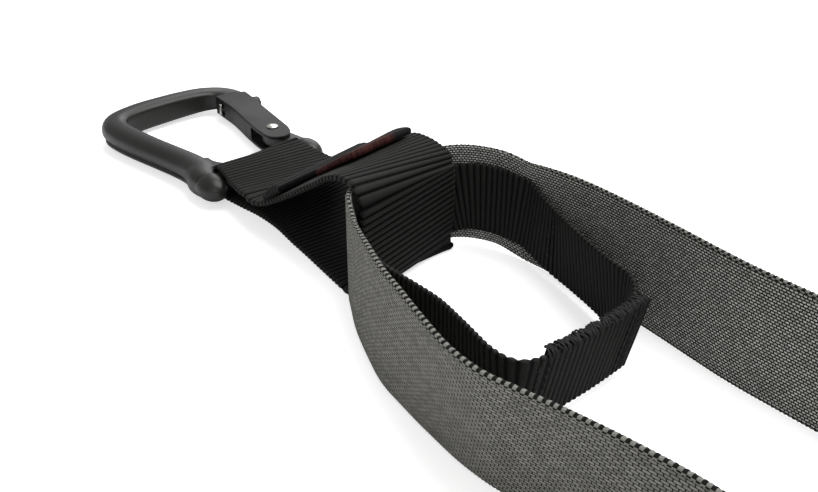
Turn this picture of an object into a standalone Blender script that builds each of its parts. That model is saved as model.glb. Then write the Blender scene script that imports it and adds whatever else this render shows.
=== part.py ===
"""Suspension trainer: a locking carabiner, the equaliser loop and two stowed adjustable straps."""
import math

import bmesh
import bpy
import numpy as np
from mathutils import Vector

# The trainer lies as laid on a table: +X runs from the carabiner to the handles, +Z is up.
# Lengths are in metres.

# Webbing
STRAP_WIDTH = 0.0381
STRAP_THICK = 0.0018
STRAP_CUPPED = 0.94
STRAP_LEAN = math.radians(10)
LOOP_WIDTH = 0.0445
LOOP_THICK = 0.0018
LOCK_WIDTH = 0.0254
LOCK_THICK = 0.0015
LOCK_LIFT = 0.0012
NARROW_WIDTH = 0.0254
NARROW_THICK = 0.0018
LABEL_THICK = 0.0016
LABEL_RISE = 0.0009
LABEL_INSET = 0.0140
FOLD_THICK = 0.0022
CLEAR = 0.0003

# Carabiner
BODY_LENGTH = 0.0930
BODY_SPREAD = 0.0600
BODY_GROOVE = 0.0006
BODY_WIDTH = 0.0122
BODY_HEIGHT = 0.0112
SHOULDER_HEIGHT = 0.0098
NOSE_WIDTH = 0.0150
NOSE_HEIGHT = 0.0088
BAR_RADIUS = 0.0045
EAR_RADIUS = 0.0066
EAR_LENGTH = 0.0052
EAR_SPACING = 0.0502
BAR_SKEW = math.radians(10)
NOSE_SECTOR = math.radians(14)
BARREL_RADIUS = 0.0047
TONGUE_LENGTH = 0.0118
TONGUE_THICK = 0.0040

# Gate
GATE_REACH_SHARE = 0.559139785
GATE_REACH = GATE_REACH_SHARE * BODY_LENGTH
GATE_HEIGHT = 0.0086
GATE_WALL = 0.0014
GATE_WIDTH = 0.0180
GATE_GAP = 0.0005
RIVET_RADIUS = 0.0017
RIVET_HEAD_RADIUS = 0.0026
RIVET_HEAD_RISE = 0.0007
KNOB_BACK = 0.0080
KNOB_PLACE = GATE_REACH - KNOB_BACK
KNOB_RADIUS = 0.0032
KNOB_LENGTH = 0.0038
KNOB_SHANK_RADIUS = 0.0011
LOCK_BAR_LENGTH = 0.0050
LOCK_BAR_WIDTH = 0.0022
LOCK_BAR_THICK = 0.0010
LOCK_SLOT_WIDTH = 0.0035
LOCK_SLOT_SHIFT = 0.0003
SPRING_WIRE = 0.0007
SPRING_TURNS = 4

# Head of the trainer, between the carabiner and the stowed length
HEAD_SPAN = 0.1000
LEG_END = 2.62 * HEAD_SPAN
LEG_SPREAD_SHARE = 0.395
LEG_SPREAD = LEG_SPREAD_SHARE * HEAD_SPAN

# Stowed roll of each leg
ROLL_CORE = 0.0120
ROLL_PITCH = 0.0052
ROLL_TURNS = 5
ROLL_STEPS = 22
ROLL_AHEAD = 0.0400

# Buckle
BUCKLE_LENGTH = 0.0560
BUCKLE_WALL = 0.0022
BUCKLE_TOP = 0.0088
BUCKLE_AHEAD = 0.0960
BUCKLE_BAR_RADIUS = 0.0018
CAM_PLACE = 0.0240
CAM_SIDE_GAP = 0.0021
CAM_WIDTH = STRAP_WIDTH - CAM_SIDE_GAP
CAM_HUB = 0.0042
CAM_REACH = 0.0051
CAM_PIN_RADIUS = 0.0016
CAM_LEVER_LENGTH = 0.0310
CAM_LEVER_THICK = 0.0026
CAM_NOTCH = 0.0070

# Handle
RING_WIRE = 0.0035
RING_LENGTH = 0.0340
RING_WIDE = 0.0405
RING_NARROW = 0.0275
RING_AHEAD = 0.0400
GRIP_LENGTH = 0.1180
GRIP_RADIUS = 0.0170
GRIP_CORE_RADIUS = 0.0146
GRIP_BORE = 0.0133
CAP_LENGTH = 0.0055
CAP_RADIUS = 0.0180
HANDLE_DROP = 0.1060
TAB_LENGTH = 0.0250
CRADLE_DROP = 0.0720
CRADLE_OVERHANG = 0.0320
CRADLE_SPREAD = GRIP_LENGTH + CRADLE_OVERHANG

# Places that follow from the sizes
BAR_Z = LOOP_THICK + CLEAR + BAR_RADIUS + CLEAR
BODY_Z = BAR_Z
BODY_Y = 0.0050
STRAP_LOW = LOOP_THICK + CLEAR
STRAP_TOP = STRAP_LOW + STRAP_WIDTH * STRAP_CUPPED
ROLL_RADIUS = ROLL_CORE + ROLL_PITCH * ROLL_TURNS
ROLL_X = LEG_END + ROLL_AHEAD
ROLL_Y = LEG_SPREAD + ROLL_RADIUS
LANE_Y = ROLL_Y + ROLL_RADIUS
RING_Z = CLEAR + 2 * CLEAR + STRAP_THICK + RING_WIRE
TOP_STRAND_Z = RING_Z + RING_WIRE + CLEAR + STRAP_THICK / 2
LOW_STRAND_Z = RING_Z - RING_WIRE - CLEAR - STRAP_THICK / 2
BUCKLE_X = ROLL_X + BUCKLE_AHEAD
RING_X = BUCKLE_X + BUCKLE_LENGTH + RING_AHEAD
GRIP_X = RING_X + RING_LENGTH + HANDLE_DROP
GRIP_Z = GRIP_RADIUS + 2 * CLEAR + (CAP_RADIUS - GRIP_RADIUS)

# Plan of the main strap round the head, as shares of the head's span
STRAP_ROUTE_SHARES = [
    (2.62, 0.395), (2.32, 0.392), (2.05, 0.394), (1.90, 0.407), (1.75, 0.425), (1.60, 0.440),
    (1.43, 0.452), (1.26, 0.450), (1.11, 0.441), (1.02, 0.428), (0.95, 0.402), (0.895, 0.36),
    (0.862, 0.30), (0.852, 0.22), (0.862, 0.12), (0.885, 0.02), (0.915, -0.08), (0.95, -0.155),
    (0.99, -0.195), (1.06, -0.235), (1.19, -0.298), (1.40, -0.378), (1.53, -0.414), (1.66, -0.450),
    (1.80, -0.482), (1.92, -0.488), (2.03, -0.466), (2.14, -0.441), (2.30, -0.415), (2.45, -0.397),
    (2.62, -0.395),
]
# Free runs of the locking loop, with how far its top leans to the left of its run as a share of its
# width; between them it lies sewn along the strap
LOCK_BACK_SHARES = [
    (1.815, -0.195, -0.22), (1.818, -0.05, -0.22), (1.808, 0.09, -0.22), (1.790, 0.175, -0.16),
    (1.745, 0.240, -0.02), (1.66, 0.283, 0.14), (1.55, 0.320, 0.17), (1.45, 0.350, 0.15),
    (1.36, 0.378, 0.10), (1.26, 0.400, 0.05),
]
LOCK_FRONT_SHARES = [
    (1.25, -0.266, 0.0), (1.34, -0.267, 0.0), (1.43, -0.264, 0.0), (1.52, -0.266, 0.0),
    (1.63, -0.283, -0.02), (1.70, -0.294, -0.05), (1.765, -0.300, -0.10), (1.823, -0.288, -0.17),
    (1.848, -0.25, -0.22), (1.852, -0.15, -0.22), (1.847, 0.0, -0.22), (1.833, 0.14, -0.22),
    (1.827, 0.185, -0.22),
]
LOCK_SEWN_SHARES = (1.16, 1.14)

# Side stations of the equaliser loop at its front and back selvedge: plan shares of the head's span,
# and height over the floor as a share of the strap's top
LOOP_FRONT_SHARES = [
    (0.10, -0.155, 0.325), (0.22, -0.168, 0.306), (0.34, -0.180, 0.330), (0.43, -0.188, 0.385),
    (0.56, -0.180, 0.554), (0.70, -0.175, 0.770), (0.78, -0.170, 0.890), (0.85, -0.168, 0.988),
    (0.925, -0.168, 1.046), (0.980, -0.170, 1.036), (1.013, -0.170, 0.96), (1.021, -0.170, 0.86),
    (1.021, -0.170, 0.53), (1.021, -0.170, 0.16), (1.018, -0.170, 0.080), (1.006, -0.170, 0.036),
    (0.988, -0.170, 0.026),
]
LOOP_BACK_SHARES = [
    (0.03, 0.258, 0.332), (0.12, 0.264, 0.319), (0.22, 0.258, 0.311), (0.30, 0.256, 0.332),
    (0.44, 0.266, 0.580), (0.60, 0.270, 0.844), (0.71, 0.265, 0.998), (0.79, 0.258, 1.042),
    (0.86, 0.252, 1.046), (0.92, 0.252, 1.030), (0.952, 0.254, 0.96), (0.957, 0.258, 0.86),
    (0.930, 0.282, 0.50), (0.905, 0.300, 0.16), (0.900, 0.299, 0.085), (0.888, 0.296, 0.036),
    (0.870, 0.292, 0.0260),
]
# Lower strand of the equaliser loop, flat on the floor
LOOP_UNDER_FRONT_SHARES = [
    (0.94, -0.168), (0.74, -0.152), (0.58, -0.136), (0.41, -0.116), (0.27, -0.116), (0.15, -0.132),
]
LOOP_UNDER_BACK_SHARES = [
    (0.84, 0.291), (0.66, 0.288), (0.50, 0.280), (0.34, 0.270), (0.20, 0.266), (0.08, 0.264),
]

# Carabiner midline from the front ear round to the nose: shares of the body's length and spread,
# from the middle of the webbing bar
BODY_PATH_SHARES = [
    (-0.022, -0.420), (0.038, -0.410), (0.092, -0.378), (0.183, -0.377), (0.290, -0.403), (0.430, -0.445),
    (0.581, -0.488), (0.710, -0.512), (0.795, -0.508), (0.860, -0.458), (0.905, -0.352), (0.939, -0.192),
    (0.960, -0.008), (0.974, 0.158), (0.977, 0.317), (0.950, 0.440), (0.900, 0.500), (0.830, 0.513),
]
# Outline of the shoulder that fills the corner between the spine and the webbing bar
SHOULDER_SHARES = [
    (0.145, -0.285), (0.105, -0.278), (0.071, -0.262), (0.050, -0.243), (0.045, -0.270), (0.040, -0.310),
    (0.037, -0.350), (0.060, -0.390), (0.130, -0.360),
]
# Outline of the hinge lug between the rear ear and the barrel
LUG_SHARES = [
    (0.301, 0.298), (0.215, 0.302), (0.145, 0.362), (0.040, 0.371), (0.000, 0.450), (0.050, 0.482),
    (0.140, 0.480), (0.240, 0.458), (0.301, 0.446),
]
# Along that path: width and height as shares of the body's section, how full the inner wall is,
# and how deep the groove in the outer wall is as a share of its full depth
BODY_SECTION_SHARES = [
    (0.42, 0.86, 1.00, 0.0), (0.52, 0.95, 1.00, 0.0), (0.90, 1.00, 1.00, 0.0), (1.00, 1.00, 1.00, 0.5),
    (0.98, 1.00, 1.00, 1.0), (0.98, 1.00, 1.00, 1.0), (1.00, 1.02, 0.98, 1.0), (1.02, 1.04, 0.92, 1.0),
    (1.02, 1.06, 0.88, 1.0), (1.00, 1.08, 0.86, 1.0), (1.00, 1.08, 0.84, 1.0), (1.02, 1.08, 0.84, 1.0),
    (1.00, 1.06, 0.84, 1.0), (1.00, 1.02, 0.84, 1.0), (1.04, 0.95, 0.84, 0.6), (1.12, 0.86, 0.84, 0.0),
    (1.18, 0.80, 0.84, 0.0), (1.20, 0.785, 0.84, 0.0),
]
# Gate plate outline from its pivot: along the gate and outwards, as shares of its reach and width
GATE_INNER_SHARES = [
    (-0.235, -0.150), (-0.205, -0.300), (-0.130, -0.370), (0.00, -0.405), (0.15, -0.408), (0.30, -0.398),
    (0.45, -0.375), (0.62, -0.363), (0.79, -0.392), (0.97, -0.420), (1.10, -0.430),
]
GATE_OUTER_SHARES = [
    (1.10, 0.200), (1.065, 0.276), (0.974, 0.402), (0.88, 0.413), (0.80, 0.411), (0.66, 0.395),
    (0.53, 0.382), (0.36, 0.370), (0.18, 0.361), (0.05, 0.358), (-0.06, 0.345), (-0.150, 0.285),
    (-0.213, 0.160), (-0.242, 0.010),
]
# Side plate of the buckle: along it and up, as shares of its length and height
BUCKLE_SIDE_SHARES = [
    (0.00, 0.30), (0.05, 0.22), (0.62, 0.22), (0.80, 0.00), (1.00, 0.00), (1.00, 0.22), (0.86, 0.34),
    (0.74, 0.62), (0.62, 0.96), (0.56, 1.00), (0.30, 1.00), (0.24, 0.96), (0.06, 0.52), (0.00, 0.46),
]
# Handle webbing from the ring tab to the grip, then the cradle: shares of the drop and half grip
HANDLE_SIDE_SHARES = [
    (0.10, 0.00, 0.00), (0.24, 0.015, 0.00), (0.36, 0.10, 0.00), (0.52, 0.40, 0.22), (0.70, 0.81, 0.64),
    (0.79, 0.98, 0.88), (0.85, 1.08, 1.00), (0.90, 1.14, 1.00), (0.945, 1.165, 1.00), (0.985, 1.13, 1.00),
    (1.00, 1.06, 1.00),
]
CRADLE_SHARES = [
    (-0.20, 0.915), (-0.08, 0.955), (0.02, 0.968), (0.25, 0.985), (0.50, 0.92), (0.74, 0.74), (0.90, 0.46),
    (0.98, 0.20),
    (1.00, 0.00),
]

COLLECTION = "suspension_trainer"
LOOKS = {
    "grey_webbing": ((0.300, 0.300, 0.275), 0.85, 0.0),
    "black_webbing": ((0.018, 0.018, 0.018), 0.80, 0.0),
    "label": ((0.060, 0.020, 0.018), 0.80, 0.0),
    "forged_alloy": ((0.055, 0.057, 0.054), 0.42, 0.6),
    "gate_alloy": ((0.085, 0.088, 0.084), 0.40, 0.6),
    "bright_rivet": ((0.620, 0.610, 0.570), 0.25, 1.0),
    "spring_steel": ((0.350, 0.350, 0.340), 0.35, 1.0),
    "plated_steel": ((0.045, 0.045, 0.047), 0.35, 0.8),
    "grip_rubber": ((0.022, 0.022, 0.023), 0.75, 0.0),
    "grip_plastic": ((0.030, 0.030, 0.032), 0.45, 0.0),
}


def clear_scene():
    for item in list(bpy.data.objects):
        bpy.data.objects.remove(item, do_unlink=True)
    for group in list(bpy.data.collections):
        bpy.data.collections.remove(group)


def make_group(name):
    group = bpy.data.collections.new(name)
    bpy.context.scene.collection.children.link(group)
    return group


clear_scene()
parts = make_group(COLLECTION)
cutters = make_group("cutters")


def look(slot):
    found = bpy.data.materials.get(slot)
    if found:
        return found
    colour, rough, metal = LOOKS[slot]
    made = bpy.data.materials.new(slot)
    made.use_nodes = True
    shader = made.node_tree.nodes["Principled BSDF"]
    shader.inputs["Base Color"].default_value = (*colour, 1.0)
    shader.inputs["Roughness"].default_value = rough
    shader.inputs["Metallic"].default_value = metal
    return made


def place(name, mesh, slot):
    """An object in the part's collection, with its material."""
    made = bpy.data.objects.new(name, mesh)
    mesh.materials.clear()
    mesh.materials.append(look(slot))
    parts.objects.link(made)
    return made


def hide(tool):
    tool.hide_render = True
    tool.display_type = "WIRE"
    for group in list(tool.users_collection):
        group.objects.unlink(tool)
    cutters.objects.link(tool)


def combine(target, tools, how):
    """Boolean each tool into the target and keep the tools as hidden cutters."""
    for tool in tools:
        step = target.modifiers.new(how.lower(), "BOOLEAN")
        step.operation = how
        step.object = tool
        hide(tool)
    return target


def smooth(points, per_span, closed=False):
    """Catmull-Rom curve through points of any dimension."""
    points = np.array(points, float)
    count = len(points)
    spans = count if closed else count - 1
    made = []
    for span in range(spans):
        if closed:
            four = [points[(span + shift) % count] for shift in (-1, 0, 1, 2)]
        else:
            four = [points[min(max(span + shift, 0), count - 1)] for shift in (-1, 0, 1, 2)]
            if span == 0:
                four[0] = 2 * four[1] - four[2]
            if span == count - 2:
                four[3] = 2 * four[2] - four[1]
        for step in range(per_span):
            t = step / per_span
            made.append(0.5 * (2 * four[1] + (four[2] - four[0]) * t
                               + (2 * four[0] - 5 * four[1] + 4 * four[2] - four[3]) * t ** 2
                               + (3 * four[1] - four[0] - 3 * four[2] + four[3]) * t ** 3))
    if not closed:
        made.append(points[-1])
    return np.array(made)


def loft(name, rings, closed, slot):
    """Skin between rings of points, with flat ends unless the rings close on themselves."""
    shape = bmesh.new()
    rows = [[shape.verts.new(point) for point in ring] for ring in rings]
    around = len(rows[0])
    last = len(rows) if closed else len(rows) - 1
    for row in range(last):
        low, high = rows[row], rows[(row + 1) % len(rows)]
        for side in range(around):
            after = (side + 1) % around
            if side < around / 2:
                shape.faces.new((low[side], low[after], high[after]))
                shape.faces.new((low[side], high[after], high[side]))
            else:
                shape.faces.new((low[side], low[after], high[side]))
                shape.faces.new((low[after], high[after], high[side]))
    if not closed:
        shape.faces.new(list(reversed(rows[0])))
        shape.faces.new(rows[-1])
    bmesh.ops.recalc_face_normals(shape, faces=shape.faces)
    mesh = bpy.data.meshes.new(name)
    shape.to_mesh(mesh)
    shape.free()
    return place(name, mesh, slot)


def directions(path, closed=False):
    """Unit tangents along a path, or from one line of points to the next."""
    if closed:
        along = np.roll(path, -1, axis=0) - np.roll(path, 1, axis=0)
    else:
        along = np.gradient(path, axis=0)
    return along / np.linalg.norm(along, axis=-1, keepdims=True)


def ribbon(name, centres, across, width, thick, slot, closed=False):
    """Flat webbing: across is its width direction at each centre, width a number or one a point."""
    centres = np.array(centres, float)
    across = np.array(across, float)
    along = directions(centres, closed)
    across = across - along * np.sum(across * along, axis=1, keepdims=True)
    across = across / np.linalg.norm(across, axis=1, keepdims=True)
    face = np.cross(along, across)
    half = np.broadcast_to(np.asarray(width, float), len(centres))[:, None] / 2
    rings = []
    for w, t in ((-1, -1), (1, -1), (1, 1), (-1, 1)):
        rings.append(centres + across * half * w + face * thick / 2 * t)
    return loft(name, np.stack(rings, axis=1), closed, slot)


def sheet_between(name, front, back, thick, slot, closed=False):
    """Flat webbing between its two selvedges."""
    front, back = np.array(front), np.array(back)
    wide = np.linalg.norm(back - front, axis=1)
    along = directions((front + back) / 2, closed)
    across = (back - front) / wide[:, None]
    face = np.cross(along, across)
    face = face / np.linalg.norm(face, axis=1, keepdims=True)
    rings = [front - face * thick / 2, back - face * thick / 2,
             back + face * thick / 2, front + face * thick / 2]
    return loft(name, np.stack(rings, axis=1), closed, slot)


def upright(plan, height):
    """Plan points as a level path at a height, with the width direction standing up."""
    plan = np.array(plan)
    level = np.full((len(plan), 1), height) if np.isscalar(height) else np.array(height)[:, None]
    return np.hstack([plan, level]), np.tile((0.0, 0.0, 1.0), (len(plan), 1))


def drum(name, radius, depth, centre, slot, axis="Z", sides=32, far_radius=None):
    """A cylinder or cone frustum as a Blender primitive, its middle at centre."""
    shape = bmesh.new()
    far = radius if far_radius is None else far_radius
    bmesh.ops.create_cone(shape, cap_ends=True, segments=sides, radius1=radius, radius2=far, depth=depth)
    mesh = bpy.data.meshes.new(name)
    shape.to_mesh(mesh)
    shape.free()
    turn = {"X": Vector((1, 0, 0)), "Y": Vector((0, 1, 0)), "Z": Vector((0, 0, 1))}
    line = turn[axis] if isinstance(axis, str) else Vector(axis)
    mesh.transform(line.to_track_quat("Z", "Y").to_matrix().to_4x4())
    made = place(name, mesh, slot)
    made.location = centre
    mesh.shade_smooth()
    mesh.set_sharp_from_angle(angle=math.radians(40))
    return made


def block(name, size, centre, slot, turn=0.0):
    """A box as a Blender primitive, turned about +Z."""
    shape = bmesh.new()
    bmesh.ops.create_cube(shape, size=1.0)
    bmesh.ops.scale(shape, vec=size, verts=shape.verts)
    mesh = bpy.data.meshes.new(name)
    shape.to_mesh(mesh)
    shape.free()
    made = place(name, mesh, slot)
    made.location = centre
    made.rotation_euler = (0, 0, turn)
    return made


def curve_mesh(name, data, slot, matrix=None):
    """Turn curve data into a welded mesh object."""
    guide = bpy.data.objects.new(name + "_curve", data)
    parts.objects.link(guide)
    bpy.context.view_layer.update()
    ready = guide.evaluated_get(bpy.context.evaluated_depsgraph_get())
    mesh = bpy.data.meshes.new_from_object(ready)
    bpy.data.objects.remove(guide, do_unlink=True)
    shape = bmesh.new()
    shape.from_mesh(mesh)
    bmesh.ops.remove_doubles(shape, verts=shape.verts, dist=CLEAR / 100)
    if matrix is not None:
        shape.transform(matrix)
    bmesh.ops.recalc_face_normals(shape, faces=shape.faces)
    shape.to_mesh(mesh)
    shape.free()
    return place(name, mesh, slot)


def plate(name, outline, depth, slot):
    """A flat outline in the XY plane, extruded evenly up and down by half its depth."""
    data = bpy.data.curves.new(name, "CURVE")
    data.dimensions = "2D"
    data.fill_mode = "BOTH"
    data.extrude = depth / 2
    line = data.splines.new("POLY")
    line.points.add(len(outline) - 1)
    for point, (x, y) in zip(line.points, outline):
        point.co = (x, y, 0, 1)
    line.use_cyclic_u = True
    return curve_mesh(name, data, slot)


def wire_ring(name, points, radius, slot, sides=3):
    """A closed round wire through points."""
    data = bpy.data.curves.new(name, "CURVE")
    data.dimensions = "3D"
    data.bevel_depth = radius
    data.bevel_resolution = sides
    line = data.splines.new("POLY")
    line.points.add(len(points) - 1)
    for point, place_ in zip(line.points, points):
        point.co = (*place_, 1)
    line.use_cyclic_u = True
    return curve_mesh(name, data, slot)


def spring(name, radius, wire, turns, length, start, axis, slot):
    """A helical spring with 10 points a turn along an axis from its start."""
    data = bpy.data.curves.new(name, "CURVE")
    data.dimensions = "3D"
    data.bevel_depth = wire / 2
    data.bevel_resolution = 0
    data.use_fill_caps = True
    count = turns * 10 + 1
    line = data.splines.new("POLY")
    line.points.add(count - 1)
    main = Vector(axis).normalized()
    side = main.orthogonal().normalized()
    other = main.cross(side)
    for index, point in enumerate(line.points):
        angle = math.tau * index / 10
        spot = Vector(start) + main * length * index / (count - 1)
        spot = spot + (side * math.cos(angle) + other * math.sin(angle)) * radius
        point.co = (*spot, 1)
    gap = length / turns - wire
    print(f"{name}: least gap between turns {gap * 1000:.2f} mm")
    return curve_mesh(name, data, slot)


def turned(name, profile, centre, slot, steps=32, axis="Y"):
    """A profile of (radius, along) pairs turned about an axis with a Screw modifier."""
    mesh = bpy.data.meshes.new(name)
    points = [(radius, 0, along) for radius, along in reversed(profile)]
    count = len(points)
    mesh.from_pydata(points, [(index, (index + 1) % count) for index in range(count)], [])
    made = place(name, mesh, slot)
    made.location = centre
    if axis == "Y":
        made.rotation_euler = (math.radians(-90), 0, 0)
    screw = made.modifiers.new("turn", "SCREW")
    screw.steps = steps
    screw.render_steps = steps
    screw.axis = "Z"
    screw.use_merge_vertices = True
    screw.merge_threshold = CLEAR / 30
    return made


# Bar frame of the carabiner
BAR_MIDDLE = Vector((0, BODY_Y, BAR_Z))
BAR_LINE = Vector((-math.sin(BAR_SKEW), math.cos(BAR_SKEW), 0))


def bar_point(share):
    """A point on the webbing bar's axis, from -1 at the front ear to 1 at the rear ear."""
    return BAR_MIDDLE + BAR_LINE * share * EAR_SPACING / 2


def body_plan(along, out):
    """Plan place from the bar's middle: along towards the nose and out towards the gate."""
    return -along * BODY_LENGTH, BODY_Y + out * BODY_SPREAD


PIVOT = Vector((*body_plan(0.301, 0.372), BODY_Z))
GATE_END = Vector((*body_plan(0.850, 0.492), BODY_Z))
GATE_LINE = (GATE_END - PIVOT).normalized()
GATE_OUT = Vector((-GATE_LINE.y, GATE_LINE.x, 0)) * -1
GATE_TURN = math.atan2(GATE_LINE.y, GATE_LINE.x)


def gate_place(along, out, up=0.0):
    """World place from lengths along the gate, outwards and up from its pivot."""
    return PIVOT + GATE_LINE * along + GATE_OUT * out + Vector((0, 0, up))


def gate_plan(pairs):
    """Gate outline shares as plan points."""
    return [gate_place(a * GATE_REACH, o * GATE_WIDTH).xy for a, o in pairs]


def rounded_section(width, height, flat_share, groove):
    """Rounded section with a flattened inner wall and a groove outside: (outwards, up) pairs."""
    made = []
    for step in range(16):
        angle = math.tau * (step + 0.5) / 16
        out = math.copysign(abs(math.cos(angle)) ** 0.8, math.cos(angle)) * width / 2
        up = math.copysign(abs(math.sin(angle)) ** 0.8, math.sin(angle)) * height / 2
        if step in (0, 15):
            out = out - groove
        made.append((max(out, -flat_share * width / 2), up))
    return made


def carabiner_body():
    path = smooth([body_plan(a, o) for a, o in BODY_PATH_SHARES], 2)
    sizes = smooth(BODY_SECTION_SHARES, 2)
    along = directions(path)
    rings = []
    for point, way, (wide, tall, flat, groove) in zip(path, along, sizes):
        out = np.array((way[1], -way[0]))
        ring = []
        for side, up in rounded_section(wide * BODY_WIDTH, tall * BODY_HEIGHT, flat, groove * BODY_GROOVE):
            ring.append((*(point - out * side), BODY_Z + up))
        rings.append(ring)
    body = loft("carabiner_body", rings, False, "forged_alloy")

    arc = [GATE_TURN + NOSE_SECTOR * share for share in np.linspace(-1, 1, 13)]
    reach = GATE_REACH + GATE_GAP
    sector = [(PIVOT.x + reach * math.cos(turn), PIVOT.y + reach * math.sin(turn)) for turn in arc]
    sweep = plate("nose_sweep", sector + [PIVOT.xy], BODY_HEIGHT * 2, "forged_alloy")
    sweep.location.z = BODY_Z
    ears = []
    for share in (-1, 1):
        ear = ear_dome(bar_point(share))
        ears.append(ear)
    middle = BAR_MIDDLE
    bar = drum("bar", BAR_RADIUS, EAR_SPACING, middle, "forged_alloy", axis=BAR_LINE, sides=24)
    height = GATE_HEIGHT - 2 * GATE_WALL - 2 * CLEAR
    lug = plate("lug", [body_plan(a, o) for a, o in LUG_SHARES], height, "forged_alloy")
    lug.location.z = BODY_Z
    barrel = drum("barrel", BARREL_RADIUS, height, PIVOT, "forged_alloy", sides=28)
    tongue_centre = gate_place(GATE_REACH + GATE_GAP - TONGUE_LENGTH / 2 + BODY_WIDTH / 4, TONGUE_THICK / 8)
    tongue = block("tongue", (TONGUE_LENGTH + BODY_WIDTH / 2, TONGUE_THICK, height), tongue_centre,
                   "forged_alloy", GATE_TURN)
    shoulder = plate("shoulder", [body_plan(a, o) for a, o in SHOULDER_SHARES], SHOULDER_HEIGHT,
                     "forged_alloy")
    shoulder.location.z = BODY_Z
    shank_hole = drum("tongue_hole", KNOB_SHANK_RADIUS + CLEAR, TONGUE_THICK * 3,
                      gate_place(KNOB_PLACE, TONGUE_THICK / 8), "forged_alloy", axis=GATE_OUT, sides=16)
    hole = drum("pivot_hole", RIVET_RADIUS + CLEAR, BODY_HEIGHT * 2, PIVOT, "forged_alloy", sides=20)
    combine(body, [sweep], "DIFFERENCE")
    combine(body, ears + [bar, shoulder, lug, barrel, tongue], "UNION")
    combine(body, [shank_hole, hole], "DIFFERENCE")
    return body


def ear_dome(centre):
    """Rounded end of the webbing bar: a sphere flattened along the bar."""
    shape = bmesh.new()
    bmesh.ops.create_uvsphere(shape, u_segments=20, v_segments=12, radius=EAR_RADIUS)
    bmesh.ops.scale(shape, vec=(1, EAR_LENGTH / EAR_RADIUS, 1), verts=shape.verts)
    mesh = bpy.data.meshes.new("ear")
    shape.to_mesh(mesh)
    shape.free()
    ear = place("ear", mesh, "forged_alloy")
    ear.location = centre
    ear.rotation_euler = (0, 0, BAR_SKEW)
    return ear


def gate():
    inner = smooth(GATE_INNER_SHARES, 3)
    outer = smooth(GATE_OUTER_SHARES, 3)
    outline = gate_plan(list(inner) + list(outer))
    shell = plate("gate", outline, GATE_HEIGHT, "gate_alloy")
    shell.location.z = BODY_Z

    wall = GATE_WALL / GATE_WIDTH
    reach = [(a * 1.0, o + wall) for a, o in inner if a > 0.12]
    pocket_line = gate_plan(reach + [(1.3, -0.3), (1.3, 1.2), (-0.4, 1.2), (-0.4, -1.0), (0.12, -1.0)])
    pocket = plate("gate_pocket", pocket_line, GATE_HEIGHT - 2 * GATE_WALL, "gate_alloy")
    pocket.location.z = BODY_Z
    sweep = drum("gate_sweep", GATE_REACH, GATE_HEIGHT * 2, PIVOT, "gate_alloy", sides=96)
    hole = drum("rivet_hole", RIVET_RADIUS + CLEAR, GATE_HEIGHT * 2, PIVOT, "gate_alloy", sides=20)
    slot = block("lock_slot", (LOCK_SLOT_WIDTH, GATE_WIDTH / 2, LOCK_BAR_LENGTH + 2 * CLEAR),
                 gate_place(KNOB_PLACE - LOCK_SLOT_SHIFT, -GATE_WIDTH / 2), "gate_alloy", GATE_TURN)
    combine(shell, [sweep], "INTERSECT")
    combine(shell, [pocket, hole, slot], "DIFFERENCE")
    return shell


def rivet():
    """Gate pivot rivet: a shank with a low dome on each plate."""
    half = GATE_HEIGHT / 2 + CLEAR
    rise = RIVET_HEAD_RISE
    profile = [(0, half + rise), (RIVET_HEAD_RADIUS * 0.6, half + rise * 0.8), (RIVET_HEAD_RADIUS, half + rise / 4),
               (RIVET_HEAD_RADIUS, half), (RIVET_RADIUS, half), (RIVET_RADIUS, -half),
               (RIVET_HEAD_RADIUS, -half), (RIVET_HEAD_RADIUS, -half - rise / 4),
               (RIVET_HEAD_RADIUS * 0.6, -half - rise * 0.8), (0, -half - rise)]
    return spindle("gate_pivot_rivet", profile, PIVOT, (0, 0, 1), "bright_rivet", 20)


def spindle(name, profile, centre, axis, slot, steps):
    """A solid of revolution: its open profile starts and ends on the axis."""
    mesh = bpy.data.meshes.new(name)
    points = [(radius, 0, along) for radius, along in profile]
    mesh.from_pydata(points, [(index, index + 1) for index in range(len(points) - 1)], [])
    made = place(name, mesh, slot)
    made.location = centre
    made.rotation_euler = Vector(axis).to_track_quat("Z", "Y").to_euler()
    screw = made.modifiers.new("turn", "SCREW")
    screw.steps = steps
    screw.render_steps = steps
    screw.axis = "Z"
    screw.use_merge_vertices = True
    screw.merge_threshold = CLEAR / 30
    return made


def lock_seat():
    """How far out the outer face of the lock's cross bar lies, just clear of the web's eye side."""
    inner = np.array(GATE_INNER_SHARES)
    web = np.interp(KNOB_PLACE / GATE_REACH, inner[3:, 0], inner[3:, 1]) * GATE_WIDTH
    return web - CLEAR - CLEAR / 3


def lock_knob():
    """Quarter-turn lock: a knurled knob outside the nose and its shank through the tongue and the web."""
    head_start = max(o for a, o in GATE_OUTER_SHARES) * GATE_WIDTH + CLEAR
    head_end = head_start + KNOB_LENGTH
    start = lock_seat() + CLEAR
    ridge = KNOB_RADIUS * 0.93
    knurl = [(KNOB_RADIUS if step % 2 else ridge, math.tau * step / 32) for step in range(32)]
    shank = drum("lock_knob", KNOB_SHANK_RADIUS, head_start - start + CLEAR,
                 gate_place(KNOB_PLACE, (head_start + CLEAR + start) / 2), "plated_steel",
                 axis=GATE_OUT, sides=12)
    rings = []
    for out, size in ((head_start, 0.9), (head_start + CLEAR, 1.0), (head_end - 2 * CLEAR, 1.0), (head_end, 0.8)):
        base = gate_place(KNOB_PLACE, out)
        ring = [base + (GATE_LINE * math.cos(turn) + Vector((0, 0, math.sin(turn)))) * radius * size
                for radius, turn in knurl]
        rings.append(ring)
    head = loft("knob_head", rings, False, "plated_steel")
    combine(shank, [head], "UNION")
    return shank


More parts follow.
